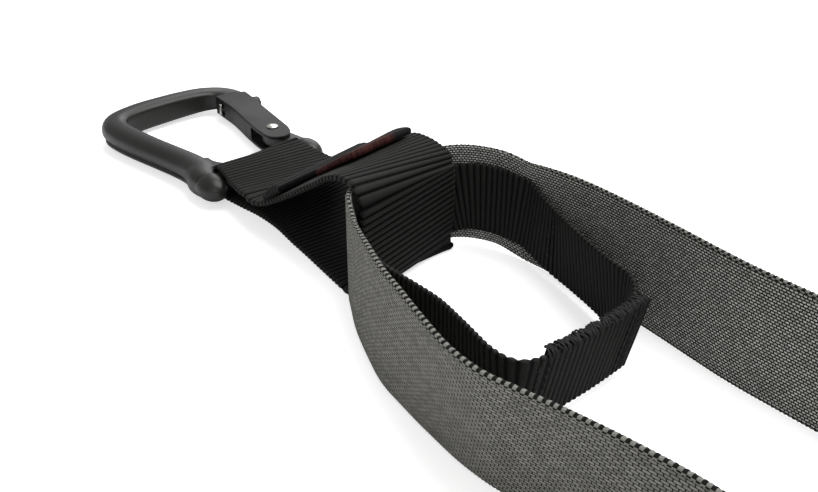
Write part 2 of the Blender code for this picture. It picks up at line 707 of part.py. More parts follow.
def knob_rivet():
    """Bright cross bar on the shank's end: it passes the web's slot upright and catches it lengthways."""
    seat = lock_seat() - LOCK_BAR_THICK / 2
    size = (LOCK_BAR_WIDTH, LOCK_BAR_THICK, LOCK_BAR_LENGTH)
    return block("knob_rivet", size, gate_place(KNOB_PLACE, seat), "bright_rivet", GATE_TURN)


def gate_spring():
    """Spring round the barrel's stem between the lug and the web, which closes the gate."""
    start = gate_place(BARREL_RADIUS + 2 * SPRING_WIRE, 0, 0)
    radius = (GATE_HEIGHT - 2 * GATE_WALL) / 2 - SPRING_WIRE
    return spring("gate_spring", radius, SPRING_WIRE, SPRING_TURNS, KNOB_PLACE / 3, start, GATE_LINE,
                  "spring_steel")


def head_plan(pairs):
    return np.array(pairs) * HEAD_SPAN


def smooth_step(share):
    share = np.clip(share, 0, 1)
    return share * share * (3 - 2 * share)


def eased(plan, start, stop):
    """Rises from 0 to 1 between two distances along +X, given as shares of the head's span."""
    return smooth_step((plan[:, 0] / HEAD_SPAN - start) / (stop - start))


def main_strap():
    """The strap stands on edge: cupped inside the loop, and with its front leg leaning out."""
    plan = smooth(head_plan(STRAP_ROUTE_SHARES), 3)
    way = directions(plan)
    inward = np.stack([-way[:, 1], way[:, 0], way[:, 0] * 0], axis=1)
    width = STRAP_WIDTH * (STRAP_CUPPED + (1 - STRAP_CUPPED) * eased(plan, 1.0, 1.35))
    low = STRAP_LOW + (CLEAR - STRAP_LOW) * eased(plan, 1.0, 1.16)
    lean = STRAP_LEAN * eased(plan, 1.35, 1.95) * (1 - eased(plan, 2.1, 2.5)) * (plan[:, 1] < 0)
    height = low + width / 2 * np.cos(lean) + STRAP_THICK / 2 * np.sin(lean)
    centres, up = upright(plan, height)
    centres = centres + inward * (width / 2 * np.sin(lean))[:, None]
    across = up * np.cos(lean)[:, None] - inward * np.sin(lean)[:, None]
    return ribbon("main_strap", centres, across, width, STRAP_THICK, "grey_webbing")


def sewn_run():
    """The stretch of the locking loop that is sewn along the strap's inner face."""
    plan = smooth(head_plan(STRAP_ROUTE_SHARES), 3)
    way = directions(plan)
    inward = np.stack([-way[:, 1], way[:, 0]], axis=1)
    away = STRAP_THICK / 2 + CLEAR + LOCK_THICK / 2
    line = plan + inward * away
    apex = int(np.argmin(plan[:, 0]))
    keep = [point for index, point in enumerate(line)
            if point[0] < LOCK_SEWN_SHARES[0 if index < apex else 1] * HEAD_SPAN]
    return np.array(keep)


def locking_loop():
    """Narrow loop: both ends lie over each other at the far wall, which leans away from the strap."""
    back = np.array(LOCK_BACK_SHARES) * (HEAD_SPAN, HEAD_SPAN, 1)
    front = np.array(LOCK_FRONT_SHARES) * (HEAD_SPAN, HEAD_SPAN, 1)
    sewn = sewn_run()
    rows = smooth(np.vstack([back, np.hstack([sewn, sewn[:, :1] * 0]), front]), 2)
    first, last = 2 * len(back), 2 * (len(back) + len(sewn) - 1)
    rows = rows[[index for index in range(len(rows)) if index % 2 == 0 or not first < index < last]]
    plan, tilt = rows[:, :2], np.arcsin(rows[:, 2])
    way = directions(plan)
    left = np.stack([-way[:, 1], way[:, 0], way[:, 0] * 0], axis=1)
    low = STRAP_LOW + LOCK_LIFT
    centres, up = upright(plan, low + LOCK_WIDTH / 2 * np.cos(tilt) + LOCK_THICK / 2 * np.abs(np.sin(tilt)))
    across = up * np.cos(tilt)[:, None] + left * np.sin(tilt)[:, None]
    return ribbon("locking_loop", centres, across, LOCK_WIDTH, LOCK_THICK, "black_webbing")


def wrap_arc(centre, radius, start, stop, steps):
    """Arc in the XZ plane about a centre, from start to stop in degrees."""
    angles = np.radians(np.linspace(start, stop, steps))
    return np.stack([centre[0] + radius * np.cos(angles), np.full(steps, centre[1]),
                     centre[2] + radius * np.sin(angles)], axis=1)


def equalizer_loop():
    """Wide webbing round the bar, over the strap's top edge, down inside the U and back beneath."""
    radius = BAR_RADIUS + CLEAR + LOOP_THICK / 2
    half = LOOP_WIDTH / EAR_SPACING * 0.908
    floor_z = LOOP_THICK / 2 + CLEAR / 10
    edges = []
    sets = ((-half, LOOP_FRONT_SHARES, LOOP_UNDER_FRONT_SHARES), (half, LOOP_BACK_SHARES, LOOP_UNDER_BACK_SHARES))
    for share, over, under in sets:
        axis = bar_point(share)
        arc = wrap_arc(axis, radius, 270, 95, 9)
        top = [(x * HEAD_SPAN, y * HEAD_SPAN, z * STRAP_TOP) for x, y, z in over]
        low = [(x * HEAD_SPAN, y * HEAD_SPAN, floor_z) for x, y in under]
        edges.append(smooth(np.vstack([arc, top, low]), 2, closed=True))
    return sheet_between("equalizer_loop", edges[0], edges[1], LOOP_THICK, "black_webbing", closed=True)


def over_strand(stations, lifts, insets):
    """Selvedges of a piece that lies on the loop's upper strand, lifted off it at each station."""
    lines = []
    for shares in (LOOP_FRONT_SHARES, LOOP_BACK_SHARES):
        rows = smooth(np.array(shares) * (HEAD_SPAN, HEAD_SPAN, STRAP_TOP), 2)
        lines.append(np.array([rows[int(2 * station)] for station in stations]))
    across = directions(np.stack(lines))[0]
    edges = [lines[0] + across * insets[0], lines[1] - across * insets[1]]
    along = directions((edges[0] + edges[1]) / 2)
    face = np.stack([-along[:, 2], along[:, 1] * 0, along[:, 0]], axis=1)
    return [edge + face * np.array(lifts)[:, None] for edge in edges]


def seam_fold():
    """Turned-up end of the loop's webbing, stitched across the upper strand."""
    rest = LOOP_THICK / 2 + CLEAR + FOLD_THICK / 2
    front, back = over_strand((3.5, 4), (rest, rest), (CLEAR, CLEAR))
    return sheet_between("seam_fold", front, back, FOLD_THICK, "black_webbing")


def label_tab():
    """Label sewn in at the seam, lying up the rising strand with its end standing free."""
    rest = LOOP_THICK / 2 + CLEAR + LABEL_THICK / 2
    stations = (4.5, 5, 5.5, 6, 6.5)
    lifts = [rest + LABEL_RISE * step / 4 for step in range(5)]
    front, back = over_strand(stations, lifts, (LABEL_INSET, LABEL_INSET / 4))
    return sheet_between("label_tab", front, back, LABEL_THICK, "label")


def roll_plan():
    """Double spiral: in along one arm, across the core in an S, and out along the other."""
    turns = np.linspace(ROLL_TURNS, 0, ROLL_TURNS * ROLL_STEPS + 1)
    radius = ROLL_CORE + ROLL_PITCH * turns
    angle = -math.tau * turns
    arm = np.stack([radius * np.cos(angle), radius * np.sin(angle)], axis=1)
    bend = np.linspace(0, math.pi, ROLL_STEPS // 2 + 1)[1:-1]
    first = np.stack([ROLL_CORE / 2 + ROLL_CORE / 2 * np.cos(bend), ROLL_CORE / 2 * np.sin(bend)], axis=1)
    core = np.vstack([first, [[0.0, 0.0]], -first[::-1]])
    line = np.vstack([arm, core, -arm[::-1]])
    turn = np.array([[0.0, -1.0], [1.0, 0.0]])
    return line @ turn


def closest_pass(line, skip):
    """Least distance between points of a line that are more than skip points apart."""
    gaps = []
    for index in range(len(line) - skip):
        rest = line[index + skip:]
        gaps.append(np.min(np.hypot(*(rest - line[index]).T)))
    return min(gaps)


def strap_roll(side, word):
    line = roll_plan()
    gap = closest_pass(line, ROLL_STEPS // 2 + 2) - STRAP_THICK
    print(f"strap_roll_{word}: least gap between turns {gap * 1000:.2f} mm")
    plan = line + (ROLL_X, ROLL_Y)
    lead = [(LEG_END + CLEAR, LEG_SPREAD), (LEG_END + ROLL_AHEAD * 0.5, LEG_SPREAD)]
    tail = [(ROLL_X + ROLL_AHEAD * 0.25, LANE_Y)]
    plan = np.vstack([lead, plan, tail]) * (1, side)
    centres, across = upright(plan, CLEAR + STRAP_WIDTH / 2)
    return ribbon(f"strap_roll_{word}", centres, across, STRAP_WIDTH, STRAP_THICK, "grey_webbing")


def tail_path():
    """Strap from the roll: a quarter twist, through the buckle, round the ring and back to the bar."""
    start = ROLL_X + ROLL_AHEAD * 0.25 + CLEAR
    flat_at = BUCKLE_X - 2 * STRAP_THICK
    spots, leans = [(start, 0, CLEAR + STRAP_WIDTH / 2)], [math.radians(90)]
    start = start + 2 * STRAP_THICK
    for share in np.linspace(0, 1, 19):
        ease = smooth_step(share)
        lean = math.radians(90) * (1 - ease)
        rise = STRAP_WIDTH / 2 * math.sin(lean) + STRAP_THICK / 2 * math.cos(lean)
        lift = TOP_STRAND_Z - CLEAR - STRAP_THICK / 2
        spots.append((start + (flat_at - start) * share, 0, CLEAR + rise + lift * ease))
        leans.append(lean)
    bar_x = BUCKLE_X + BUCKLE_LENGTH - BUCKLE_BAR_RADIUS
    bar_z = LOW_STRAND_Z + STRAP_THICK / 2 + CLEAR + BUCKLE_BAR_RADIUS
    turn = RING_WIRE + CLEAR + STRAP_THICK / 2
    loop = BUCKLE_BAR_RADIUS + CLEAR + STRAP_THICK / 2
    flat = [(BUCKLE_X + BUCKLE_LENGTH * share, 0, TOP_STRAND_Z) for share in (0.1, 0.5, 1.0)]
    flat += [tuple(spot) for spot in wrap_arc((RING_X, 0, RING_Z), turn, 90, -90, 11)]
    flat += [(RING_X - RING_AHEAD * 0.5, 0, LOW_STRAND_Z)]
    flat += [tuple(spot) for spot in wrap_arc((bar_x, 0, bar_z), loop, 270, 75, 9)]
    sewn_z = LOW_STRAND_Z + STRAP_THICK + CLEAR
    flat += [(bar_x + 4 * STRAP_THICK, 0, sewn_z + STRAP_THICK / 4), (bar_x + 6 * STRAP_THICK, 0, sewn_z),
             (RING_X - RING_AHEAD * 0.3, 0, sewn_z)]
    spots += flat
    leans += [0.0] * len(flat)
    return np.array(spots), np.array(leans)


def strap_tail(side, word):
    spots, leans = tail_path()
    across = np.stack([leans * 0, np.cos(leans), np.sin(leans) * side], axis=1)
    spots[:, 1] += side * LANE_Y
    return ribbon(f"strap_tail_{word}", spots, across, STRAP_WIDTH, STRAP_THICK, "grey_webbing")


def buckle_frame(side, word):
    """Cam buckle frame: two side plates, the bed under the strap and the fixed bar."""
    low = LOW_STRAND_Z - STRAP_THICK / 2 + CLEAR
    cam_z = TOP_STRAND_Z + STRAP_THICK / 2 + CLEAR + CAM_REACH
    tall = cam_z + CAM_HUB - low
    inner = STRAP_WIDTH / 2 + 3 * CLEAR
    outline = smooth([(x * BUCKLE_LENGTH, z * tall) for x, z in BUCKLE_SIDE_SHARES], 2, closed=True)
    sides = []
    for edge in (-1, 1):
        wall = plate(f"buckle_side_{edge}", outline, BUCKLE_WALL, "plated_steel")
        wall.rotation_euler = (math.radians(90), 0, 0)
        wall.location = (BUCKLE_X, side * LANE_Y + edge * (inner + BUCKLE_WALL / 2), low)
        sides.append(wall)
    bed_z = TOP_STRAND_Z - STRAP_THICK / 2 - CLEAR - BUCKLE_WALL / 2
    bed_length = BUCKLE_LENGTH * 0.66
    bed = block("buckle_bed", (bed_length, 2 * inner + BUCKLE_WALL, BUCKLE_WALL),
                (BUCKLE_X + CLEAR * 4 + bed_length / 2, side * LANE_Y, bed_z), "plated_steel")
    bar_z = LOW_STRAND_Z + STRAP_THICK / 2 + CLEAR + BUCKLE_BAR_RADIUS
    bar = drum("buckle_bar", BUCKLE_BAR_RADIUS, 2 * inner + BUCKLE_WALL,
               (BUCKLE_X + BUCKLE_LENGTH - BUCKLE_BAR_RADIUS, side * LANE_Y, bar_z), "plated_steel",
               axis="Y", sides=12)
    frame = sides[0]
    frame.name = f"buckle_frame_{word}"
    holes = drum("cam_pin_hole", CAM_PIN_RADIUS + CLEAR, 4 * inner,
                 (BUCKLE_X + CAM_PLACE, side * LANE_Y, cam_z), "plated_steel", axis="Y", sides=14)
    combine(frame, [sides[1], bed, bar], "UNION")
    combine(frame, [holes], "DIFFERENCE")
    return frame


def cam_height():
    return TOP_STRAND_Z + STRAP_THICK / 2 + CLEAR + CAM_REACH


def buckle_cam(side, word):
    """Toothed cam with its lever, notched in the middle for the spring."""
    place_ = (BUCKLE_X + CAM_PLACE, side * LANE_Y, cam_height())
    outline = []
    for step in range(16):
        angle = math.radians(-30 - 240 * step / 15)
        lobe = max(0.0, math.cos(angle + math.radians(90)))
        radius = CAM_HUB + (CAM_REACH - CAM_HUB) * lobe
        tooth = 0.94 if step % 2 and lobe > 0.3 else 1.0
        outline.append((radius * tooth * math.cos(angle), radius * tooth * math.sin(angle)))
    rise = CAM_HUB - CAM_LEVER_THICK / 3
    tip = -CAM_LEVER_LENGTH
    outline += [(tip * 0.85, rise), (tip, rise + CAM_LEVER_THICK), (tip * 0.97, rise + 1.9 * CAM_LEVER_THICK),
                (tip * 0.80, rise + CAM_LEVER_THICK), (0, rise + CAM_LEVER_THICK),
                (CAM_HUB * 0.6, CAM_HUB * 0.8)]
    cam = plate(f"buckle_cam_{word}", outline, CAM_WIDTH, "plated_steel")
    cam.rotation_euler = (math.radians(90), 0, 0)
    cam.location = place_
    hole = drum("cam_bore", CAM_PIN_RADIUS + CLEAR, CAM_WIDTH * 2, place_, "plated_steel", axis="Y", sides=14)
    notch_top = CAM_PIN_RADIUS + 2 * SPRING_WIRE
    notch_low = CAM_REACH + CAM_HUB / 2
    notch = block("cam_notch", (CAM_HUB * 2.6, CAM_NOTCH, notch_top + notch_low),
                  (place_[0] + CAM_HUB * 0.15, place_[1], place_[2] + (notch_top - notch_low) / 2),
                  "plated_steel")
    combine(cam, [hole, notch], "DIFFERENCE")
    return cam


def cam_pin(side, word):
    """Pin with a low head against each side plate."""
    inner = STRAP_WIDTH / 2 + 3 * CLEAR
    end = inner + BUCKLE_WALL + CLEAR
    head = CAM_PIN_RADIUS * 1.6
    rise = BUCKLE_WALL / 3
    profile = [(0, end + rise), (head * 0.8, end + rise), (head, end + rise / 2), (head, end), (CAM_PIN_RADIUS, end),
               (CAM_PIN_RADIUS, -end), (head, -end), (head, -end - rise / 2), (head * 0.8, -end - rise),
               (0, -end - rise)]
    centre = (BUCKLE_X + CAM_PLACE, side * LANE_Y, cam_height())
    return spindle(f"cam_pin_{word}", profile, centre, (0, 1, 0), "bright_rivet", 14)


def cam_spring(side, word):
    length = CAM_NOTCH - 2 * CLEAR - SPRING_WIRE * 1.2
    start = (BUCKLE_X + CAM_PLACE, side * LANE_Y - length / 2, cam_height())
    radius = CAM_PIN_RADIUS + SPRING_WIRE
    return spring(f"cam_spring_{word}", radius, SPRING_WIRE, SPRING_TURNS, length, start, (0, 1, 0),
                  "spring_steel")


def handle_ring(side, word):
    """Steel ring: a wide bar for the strap and a narrow bar for the handle's tab."""
    wide, narrow = RING_WIDE / 2 + RING_WIRE, RING_NARROW / 2 + RING_WIRE
    corner = RING_WIRE * 1.3
    points = []
    for x, y, heading in ((0, -wide, -135), (RING_LENGTH, -narrow, -45), (RING_LENGTH, narrow, 45), (0, wide, 135)):
        inset = corner if x == 0 else -corner
        centre = (x + inset, y - math.copysign(corner, y))
        for step in range(5):
            turn = math.radians(heading + (step - 2) * 22.5)
            points.append((RING_X + centre[0] + corner * math.cos(turn),
                           side * LANE_Y + centre[1] + corner * math.sin(turn), RING_Z))
    return wire_ring(f"handle_ring_{word}", points, RING_WIRE, "plated_steel")


def ring_tab(side, word):
    """Short webbing tab round the ring's narrow bar, which holds both ends of the handle webbing."""
    bar_x = RING_X + RING_LENGTH
    turn = RING_WIRE + CLEAR + NARROW_THICK / 2
    layer = NARROW_THICK + CLEAR + CLEAR + NARROW_THICK / 2
    far = bar_x + TAB_LENGTH
    mid = bar_x + TAB_LENGTH * 0.42
    arc = wrap_arc((bar_x, 0, RING_Z), turn, 75, 285, 11)
    line = [(far, 0, RING_Z + layer), (mid, 0, RING_Z + layer)] + [tuple(spot) for spot in arc]
    line += [(mid, 0, RING_Z - layer), (far, 0, RING_Z - layer)]
    line = np.array(line)
    line[:, 1] += side * LANE_Y
    across = np.tile((0.0, 1.0, 0.0), (len(line), 1))
    return ribbon(f"ring_tab_{word}", line, across, NARROW_WIDTH, NARROW_THICK, "black_webbing")


def handle_path():
    """Half of the handle webbing, from the tab out to the grip's middle, with its twist."""
    start = RING_X + RING_LENGTH
    half_grip = GRIP_LENGTH / 2
    rows = []
    for drop, out, twist in HANDLE_SIDE_SHARES:
        level = smooth_step(np.array((drop - 0.3) / 0.5))
        rows.append((start + drop * HANDLE_DROP, out * half_grip, RING_Z + (GRIP_Z - RING_Z) * float(level), twist))
    return smooth(rows, 4)


def handle_webbing(side, word):
    half = handle_path()
    stack = NARROW_THICK / 2 + CLEAR
    drops = (half[:, 0] - half[0, 0]) / HANDLE_DROP
    fade = (1 - smooth_step((drops - 0.34) / 0.3))[:, None]
    first = half[:, :3] + (0, 0, 1) * fade * stack
    second = half[::-1, :3] * (1, -1, 1) - (0, 0, 1) * fade[::-1] * stack
    centre = [(GRIP_X, share * GRIP_LENGTH / 2, GRIP_Z) for share in (0.8, 0.3, -0.3, -0.8)]
    line = np.vstack([first, centre, second])
    turn = np.radians(90) * np.concatenate([half[:, 3], [1.0] * 4, 2 - half[::-1, 3]])
    way = directions(line)
    level = np.cross((0, 0, 1), way)
    level = level / np.linalg.norm(level, axis=1, keepdims=True)
    across = level * np.cos(turn)[:, None] - np.array((0, 0, 1.0)) * np.sin(turn)[:, None]
    line[:, 1] = line[:, 1] * side + side * LANE_Y
    across[:, 1] = across[:, 1] * side
    return ribbon(f"handle_webbing_{word}", line, across, NARROW_WIDTH, NARROW_THICK, "black_webbing")


def foot_cradle(side, word):
    """Foot loop below the grip, sewn to the outer face of the handle webbing at each corner."""
    rows = []
    for drop, out in CRADLE_SHARES:
        sag = smooth_step(np.array(drop)) * (GRIP_Z - NARROW_WIDTH / 2 - 2 * CLEAR)
        rows.append((GRIP_X + drop * CRADLE_DROP, out * CRADLE_SPREAD / 2, GRIP_Z - float(sag)))
    half = smooth(rows, 3)
    line = np.vstack([half, half[-2::-1] * (1, -1, 1)])
    line[:, 1] = line[:, 1] * side + side * LANE_Y
    across = np.tile((0.0, 0.0, 1.0), (len(line), 1))
    return ribbon(f"foot_cradle_{word}", line, across, NARROW_WIDTH, NARROW_THICK, "black_webbing")


def grip_core(side, word):
    half = GRIP_LENGTH / 2
    profile = [(GRIP_CORE_RADIUS, -half), (GRIP_CORE_RADIUS, half), (GRIP_BORE, half), (GRIP_BORE, -half)]
    return turned(f"grip_core_{word}", profile, (GRIP_X, side * LANE_Y, GRIP_Z), "grip_plastic", 24)


def grip_cover(side, word):
    """Rubber cover: a slightly full grip with shallow grooves."""
    half = GRIP_LENGTH / 2 - CAP_LENGTH - CLEAR
    bore = GRIP_CORE_RADIUS + CLEAR
    outer = []
    for step in range(9):
        along = -1 + 2 * step / 8
        full = GRIP_RADIUS * (1 - 0.035 * along * along)
        groove = 0.97 if step % 2 else 1.0
        outer.append((full * groove, along * half))
    profile = outer + [(bore, half), (bore, -half)]
    return turned(f"grip_cover_{word}", profile, (GRIP_X, side * LANE_Y, GRIP_Z), "grip_rubber", 24)


def grip_caps(side, word):
    """End caps pressed on the grip core, one at each end."""
    made = []
    for end, way in (("inner", -1), ("outer", 1)):
        start = GRIP_LENGTH / 2 - CAP_LENGTH
        lip = CAP_LENGTH / 4
        bore = GRIP_CORE_RADIUS + CLEAR
        profile = [(bore, 0), (CAP_RADIUS - lip, 0), (CAP_RADIUS, lip), (CAP_RADIUS, CAP_LENGTH - lip),
                   (CAP_RADIUS - lip, CAP_LENGTH), (bore, CAP_LENGTH)]
        spot = side * LANE_Y + way * side * (start + CAP_LENGTH / 2)
        shifted = [(radius, along - CAP_LENGTH / 2) for radius, along in profile]
        made.append(turned(f"grip_cap_{end}_{word}", shifted, (GRIP_X, spot, GRIP_Z), "grip_plastic", 24))
    return made


carabiner_body()
gate()
rivet()
lock_knob()
knob_rivet()
gate_spring()
main_strap()
equalizer_loop()
seam_fold()
label_tab()
locking_loop()
for side, word in ((1, "left"), (-1, "right")):
    strap_roll(side, word)
    strap_tail(side, word)
    buckle_frame(side, word)
    buckle_cam(side, word)
    cam_pin(side, word)
    cam_spring(side, word)
    handle_ring(side, word)
    ring_tab(side, word)
    handle_webbing(side, word)
    foot_cradle(side, word)
    grip_core(side, word)
    grip_cover(side, word)
    grip_caps(side, word)


def stand_on_origin():
    """Move everything so that the part's box is centred over the origin with its lowest point at 0."""
    bpy.context.view_layer.update()
    graph = bpy.context.evaluated_depsgraph_get()
    spots = []
    for item in parts.objects:
        ready = item.evaluated_get(graph)
        mesh = ready.to_mesh()
        spots += [tuple(ready.matrix_world @ vertex.co) for vertex in mesh.vertices]
        ready.to_mesh_clear()
    low, high = np.min(spots, axis=0), np.max(spots, axis=0)
    shift = Vector((-(low[0] + high[0]) / 2, -(low[1] + high[1]) / 2, -low[2]))
    for item in list(parts.objects) + list(cutters.objects):
        item.location = item.location + shift
    print(f"shift in mm: {shift.x * 1000:.4f} {shift.y * 1000:.4f} {shift.z * 1000:.4f}")


stand_on_origin()
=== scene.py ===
import bmesh
import bpy
import math
import numpy as np
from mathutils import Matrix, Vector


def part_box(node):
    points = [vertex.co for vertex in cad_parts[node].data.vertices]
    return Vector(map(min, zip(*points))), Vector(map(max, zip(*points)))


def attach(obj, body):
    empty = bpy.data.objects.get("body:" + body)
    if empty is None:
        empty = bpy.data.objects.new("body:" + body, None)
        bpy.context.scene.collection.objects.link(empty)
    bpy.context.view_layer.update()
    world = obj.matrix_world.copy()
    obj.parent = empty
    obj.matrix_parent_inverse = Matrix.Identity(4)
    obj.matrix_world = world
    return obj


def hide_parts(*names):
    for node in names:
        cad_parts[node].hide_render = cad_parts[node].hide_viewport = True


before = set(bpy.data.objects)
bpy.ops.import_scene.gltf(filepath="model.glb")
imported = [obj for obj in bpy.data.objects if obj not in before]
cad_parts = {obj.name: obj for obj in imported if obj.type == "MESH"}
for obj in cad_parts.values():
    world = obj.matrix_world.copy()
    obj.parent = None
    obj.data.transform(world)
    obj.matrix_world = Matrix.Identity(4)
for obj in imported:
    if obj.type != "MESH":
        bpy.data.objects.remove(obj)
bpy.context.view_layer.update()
scene = bpy.context.scene
print("stage: frame loaded")

# Lengths are in metres. The head's own plan starts at the middle of the carabiner's bar, and the strap's
# legs end 262 mm from it. Webbing that bends in tight places is made thinner than its solid by shy.
clear, shy, legEnd = 0.0003, 0.0001, 0.2620
strapBox = np.array(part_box("main_strap"))
origin = np.array((strapBox[1][0] - legEnd, 0.0, strapBox[0][2] - clear))
strapSize = {"width": 0.0381, "thick": 0.0018, "cupped": 0.94, "lean": math.radians(10)}
loopSize = {"width": 0.0445, "thick": 0.0018, "atBar": 0.908}
narrowSize = {"width": 0.0254, "thick": 0.0018}
headSpan, upward = 0.1, np.array((0, 0, 1.0))
strapLow = loopSize["thick"] + clear
strapTop = strapLow + strapSize["width"] * strapSize["cupped"]


# Shader helpers
def feed(tree, socket, value):
    # a socket is linked and a value is set; a colour's three numbers get an opaque fourth
    if isinstance(value, bpy.types.NodeSocket):
        tree.links.new(value, socket)
    elif value is not None:
        socket.default_value = (*value, 1.0) if socket.type == "RGBA" else value


def addNode(tree, kind, feeds=(), **settings):
    # one node, its settings, and what goes to its inputs in order
    node = tree.nodes.new(kind)
    for key, value in settings.items():
        setattr(node, key, value)
    for index, value in enumerate(feeds):
        feed(tree, node.inputs[index], value)
    return node


def calc(tree, operation, *feeds):
    # one sum on values or sockets
    return addNode(tree, "ShaderNodeMath", feeds, operation=operation).outputs[0]


def ramp(tree, value, low, high, start=0.0, end=1.0):
    # smooth step from start to end while value goes from low to high
    feeds = (value, low, high, start, end)
    return addNode(tree, "ShaderNodeMapRange", feeds, interpolation_type="SMOOTHSTEP").outputs[0]


def between(tree, share, first, second):
    # first * (1 - share) + second * share
    return addNode(tree, "ShaderNodeMix", (share, None, first, second)).outputs[0]


def mixed(tree, share, first, second):
    # the same for colours, which the node takes at its inputs 6 and 7
    return addNode(tree, "ShaderNodeMix", (share, *[None] * 5, first, second), data_type="RGBA").outputs[2]


def humps(tree, value):
    # |sin(pi * value)|, one hump a unit
    return calc(tree, "ABSOLUTE", calc(tree, "SINE", calc(tree, "MULTIPLY", value, math.pi)))


def newGroup(name, place, numbers, outs):
    # a node group with one vector input, number inputs with their defaults, and number outputs
    group = bpy.data.node_groups.new(name, "ShaderNodeTree")
    group.interface.new_socket(name=place, in_out="INPUT", socket_type="NodeSocketVector")
    for label, value in numbers.items():
        group.interface.new_socket(name=label, in_out="INPUT", socket_type="NodeSocketFloat").default_value = value
    for label in outs:
        group.interface.new_socket(name=label, in_out="OUTPUT", socket_type="NodeSocketFloat")
    return group, addNode(group, "NodeGroupInput").outputs, addNode(group, "NodeGroupOutput").inputs


def useGroup(tree, group, feeds):
    # a group in a material, with what goes to its inputs by name
    node = addNode(tree, "ShaderNodeGroup", node_tree=group)
    for label, value in feeds.items():
        feed(tree, node.inputs[label], value)
    return node.outputs


def makeRibGroup():
    # Ribs lie across the band, |sin(pi * along / pitch)|, with a groove between them, where a mask paints shade
    # (1 in the groove, 0 on the crest). Thin threads run over them, leaned by slant, and the height is a blend of
    # threads and fuzz.
    slant, fuzzScale, threadShare = 0.35, 5200.0, 0.55
    group, ins, outs = newGroup("clothRibs", "Cloth", {"Pitch": 0.0017, "Thread": 0.0005},
                                ("Height", "GrooveShade", "Fibre"))
    split = addNode(group, "ShaderNodeSeparateXYZ", (ins["Cloth"],)).outputs
    along = calc(group, "DIVIDE", split[0], ins["Pitch"])
    across = calc(group, "DIVIDE", split[1], ins["Thread"])
    thread = humps(group, calc(group, "MULTIPLY_ADD", along, slant, across))
    fuzz = addNode(group, "ShaderNodeTexNoise", (ins["Cloth"], None, fuzzScale, 3.0, 0.6)).outputs[0]
    group.links.new(between(group, threadShare, fuzz, thread), outs["Height"])
    # painted shade: the groove mask is 1 between the ribs and 0 on their crests
    group.links.new(ramp(group, humps(group, along), 0.15, 0.90, 1.0, 0.0), outs["GrooveShade"])
    group.links.new(calc(group, "MULTIPLY_ADD", calc(group, "MULTIPLY", thread, fuzz), 0.6, 0.3), outs["Fibre"])
    return group


def makeFloatGroup():
    # Bricks of thread: each row of the width is shifted along the band, and each brick swells to its middle,
    # min(1.7 |sin(pi * along)|, 1) * |sin(pi * across)|. Every brick has its own tone.
    group, ins, outs = newGroup("clothFloats", "Cloth", {"Length": 0.003, "Width": 0.0013, "Shift": 0.5,
                                                         "Cover": 0.7}, ("Height", "Mask", "Tone"))
    split = addNode(group, "ShaderNodeSeparateXYZ", (ins["Cloth"],)).outputs
    across = calc(group, "DIVIDE", split[1], ins["Width"])
    row = calc(group, "FLOOR", across)
    along = calc(group, "MULTIPLY_ADD", row, ins["Shift"], calc(group, "DIVIDE", split[0], ins["Length"]))
    blunt = calc(group, "MINIMUM", calc(group, "MULTIPLY", humps(group, along), 1.7), 1.0)
    swell = calc(group, "MULTIPLY", blunt, humps(group, across))
    bare = calc(group, "SUBTRACT", 1.0, ins["Cover"])
    cell = addNode(group, "ShaderNodeCombineXYZ", (calc(group, "FLOOR", along), row, 0.0)).outputs[0]
    group.links.new(swell, outs["Height"])
    group.links.new(ramp(group, swell, bare, calc(group, "ADD", bare, 0.28)), outs["Mask"])
    group.links.new(addNode(group, "ShaderNodeTexWhiteNoise", (cell,)).outputs[0], outs["Tone"])
    return group


def makeSelvedgeGroup():
    # two rows of squares along each edge of a band, light and dark in turn, the outer row half a turn on
    group, ins, outs = newGroup("selvedgeChecks", "Cloth", {"Half": 0.019, "Pitch": 0.0026, "Row": 0.0009},
                                ("Edge", "Light"))
    split = addNode(group, "ShaderNodeSeparateXYZ", (ins["Cloth"],)).outputs
    inside = calc(group, "SUBTRACT", ins["Half"], calc(group, "ABSOLUTE", split[1]))
    rows = calc(group, "DIVIDE", inside, ins["Row"])
    outer = calc(group, "LESS_THAN", rows, 0.9)
    turn = calc(group, "MULTIPLY_ADD", outer, 0.5, calc(group, "DIVIDE", split[0], ins["Pitch"]))
    light = calc(group, "SINE", calc(group, "MULTIPLY", turn, math.tau))
    group.links.new(ramp(group, rows, 1.85, 2.15, 1.0, 0.0), outs["Edge"])
    group.links.new(ramp(group, light, -0.2, 0.2), outs["Light"])
    return group


def makeGrainGroup():
    # fine even grain with a slow cloud over it, both from the place on the object
    group, ins, outs = newGroup("surfaceGrain", "Place", {"Fine": 3000.0, "Cloud": 60.0}, ("Height", "Cloud"))
    fine = addNode(group, "ShaderNodeTexNoise", (ins["Place"], None, ins["Fine"], 2.0, 0.5)).outputs[0]
    cloud = addNode(group, "ShaderNodeTexNoise", (ins["Place"], None, ins["Cloud"], 3.0, 0.55)).outputs[0]
    group.links.new(fine, outs["Height"])
    group.links.new(ramp(group, cloud, 0.35, 0.65), outs["Cloud"])
    return group


ribGroup, floatGroup = makeRibGroup(), makeFloatGroup()
selvedgeGroup, grainGroup = makeSelvedgeGroup(), makeGrainGroup()


def newMaterial(name, values):
    # a material, its tree and its shader, with the given values on the shader's own inputs
    material = bpy.data.materials.new(name)
    material.use_nodes = True
    shader = material.node_tree.nodes["Principled BSDF"]
    for label, value in values.items():
        feed(material.node_tree, shader.inputs[label], value)
    return material, material.node_tree, shader


def newCloth(name, look):
    # a material for webbing, and the place on its flat sheet
    material, tree, shader = newMaterial(name, {"Roughness": look["rough"], "Specular IOR Level": look["gloss"]})
    return material, tree, shader, addNode(tree, "ShaderNodeUVMap", uv_map="cloth").outputs[0]


def bumped(tree, shader, height, look):
    # the height as bumps, its full range as deep as the look says
    bump = addNode(tree, "ShaderNodeBump", (look["bump"], look["deep"]))
    tree.links.new(height, bump.inputs["Height"])
    tree.links.new(bump.outputs[0], shader.inputs["Normal"])


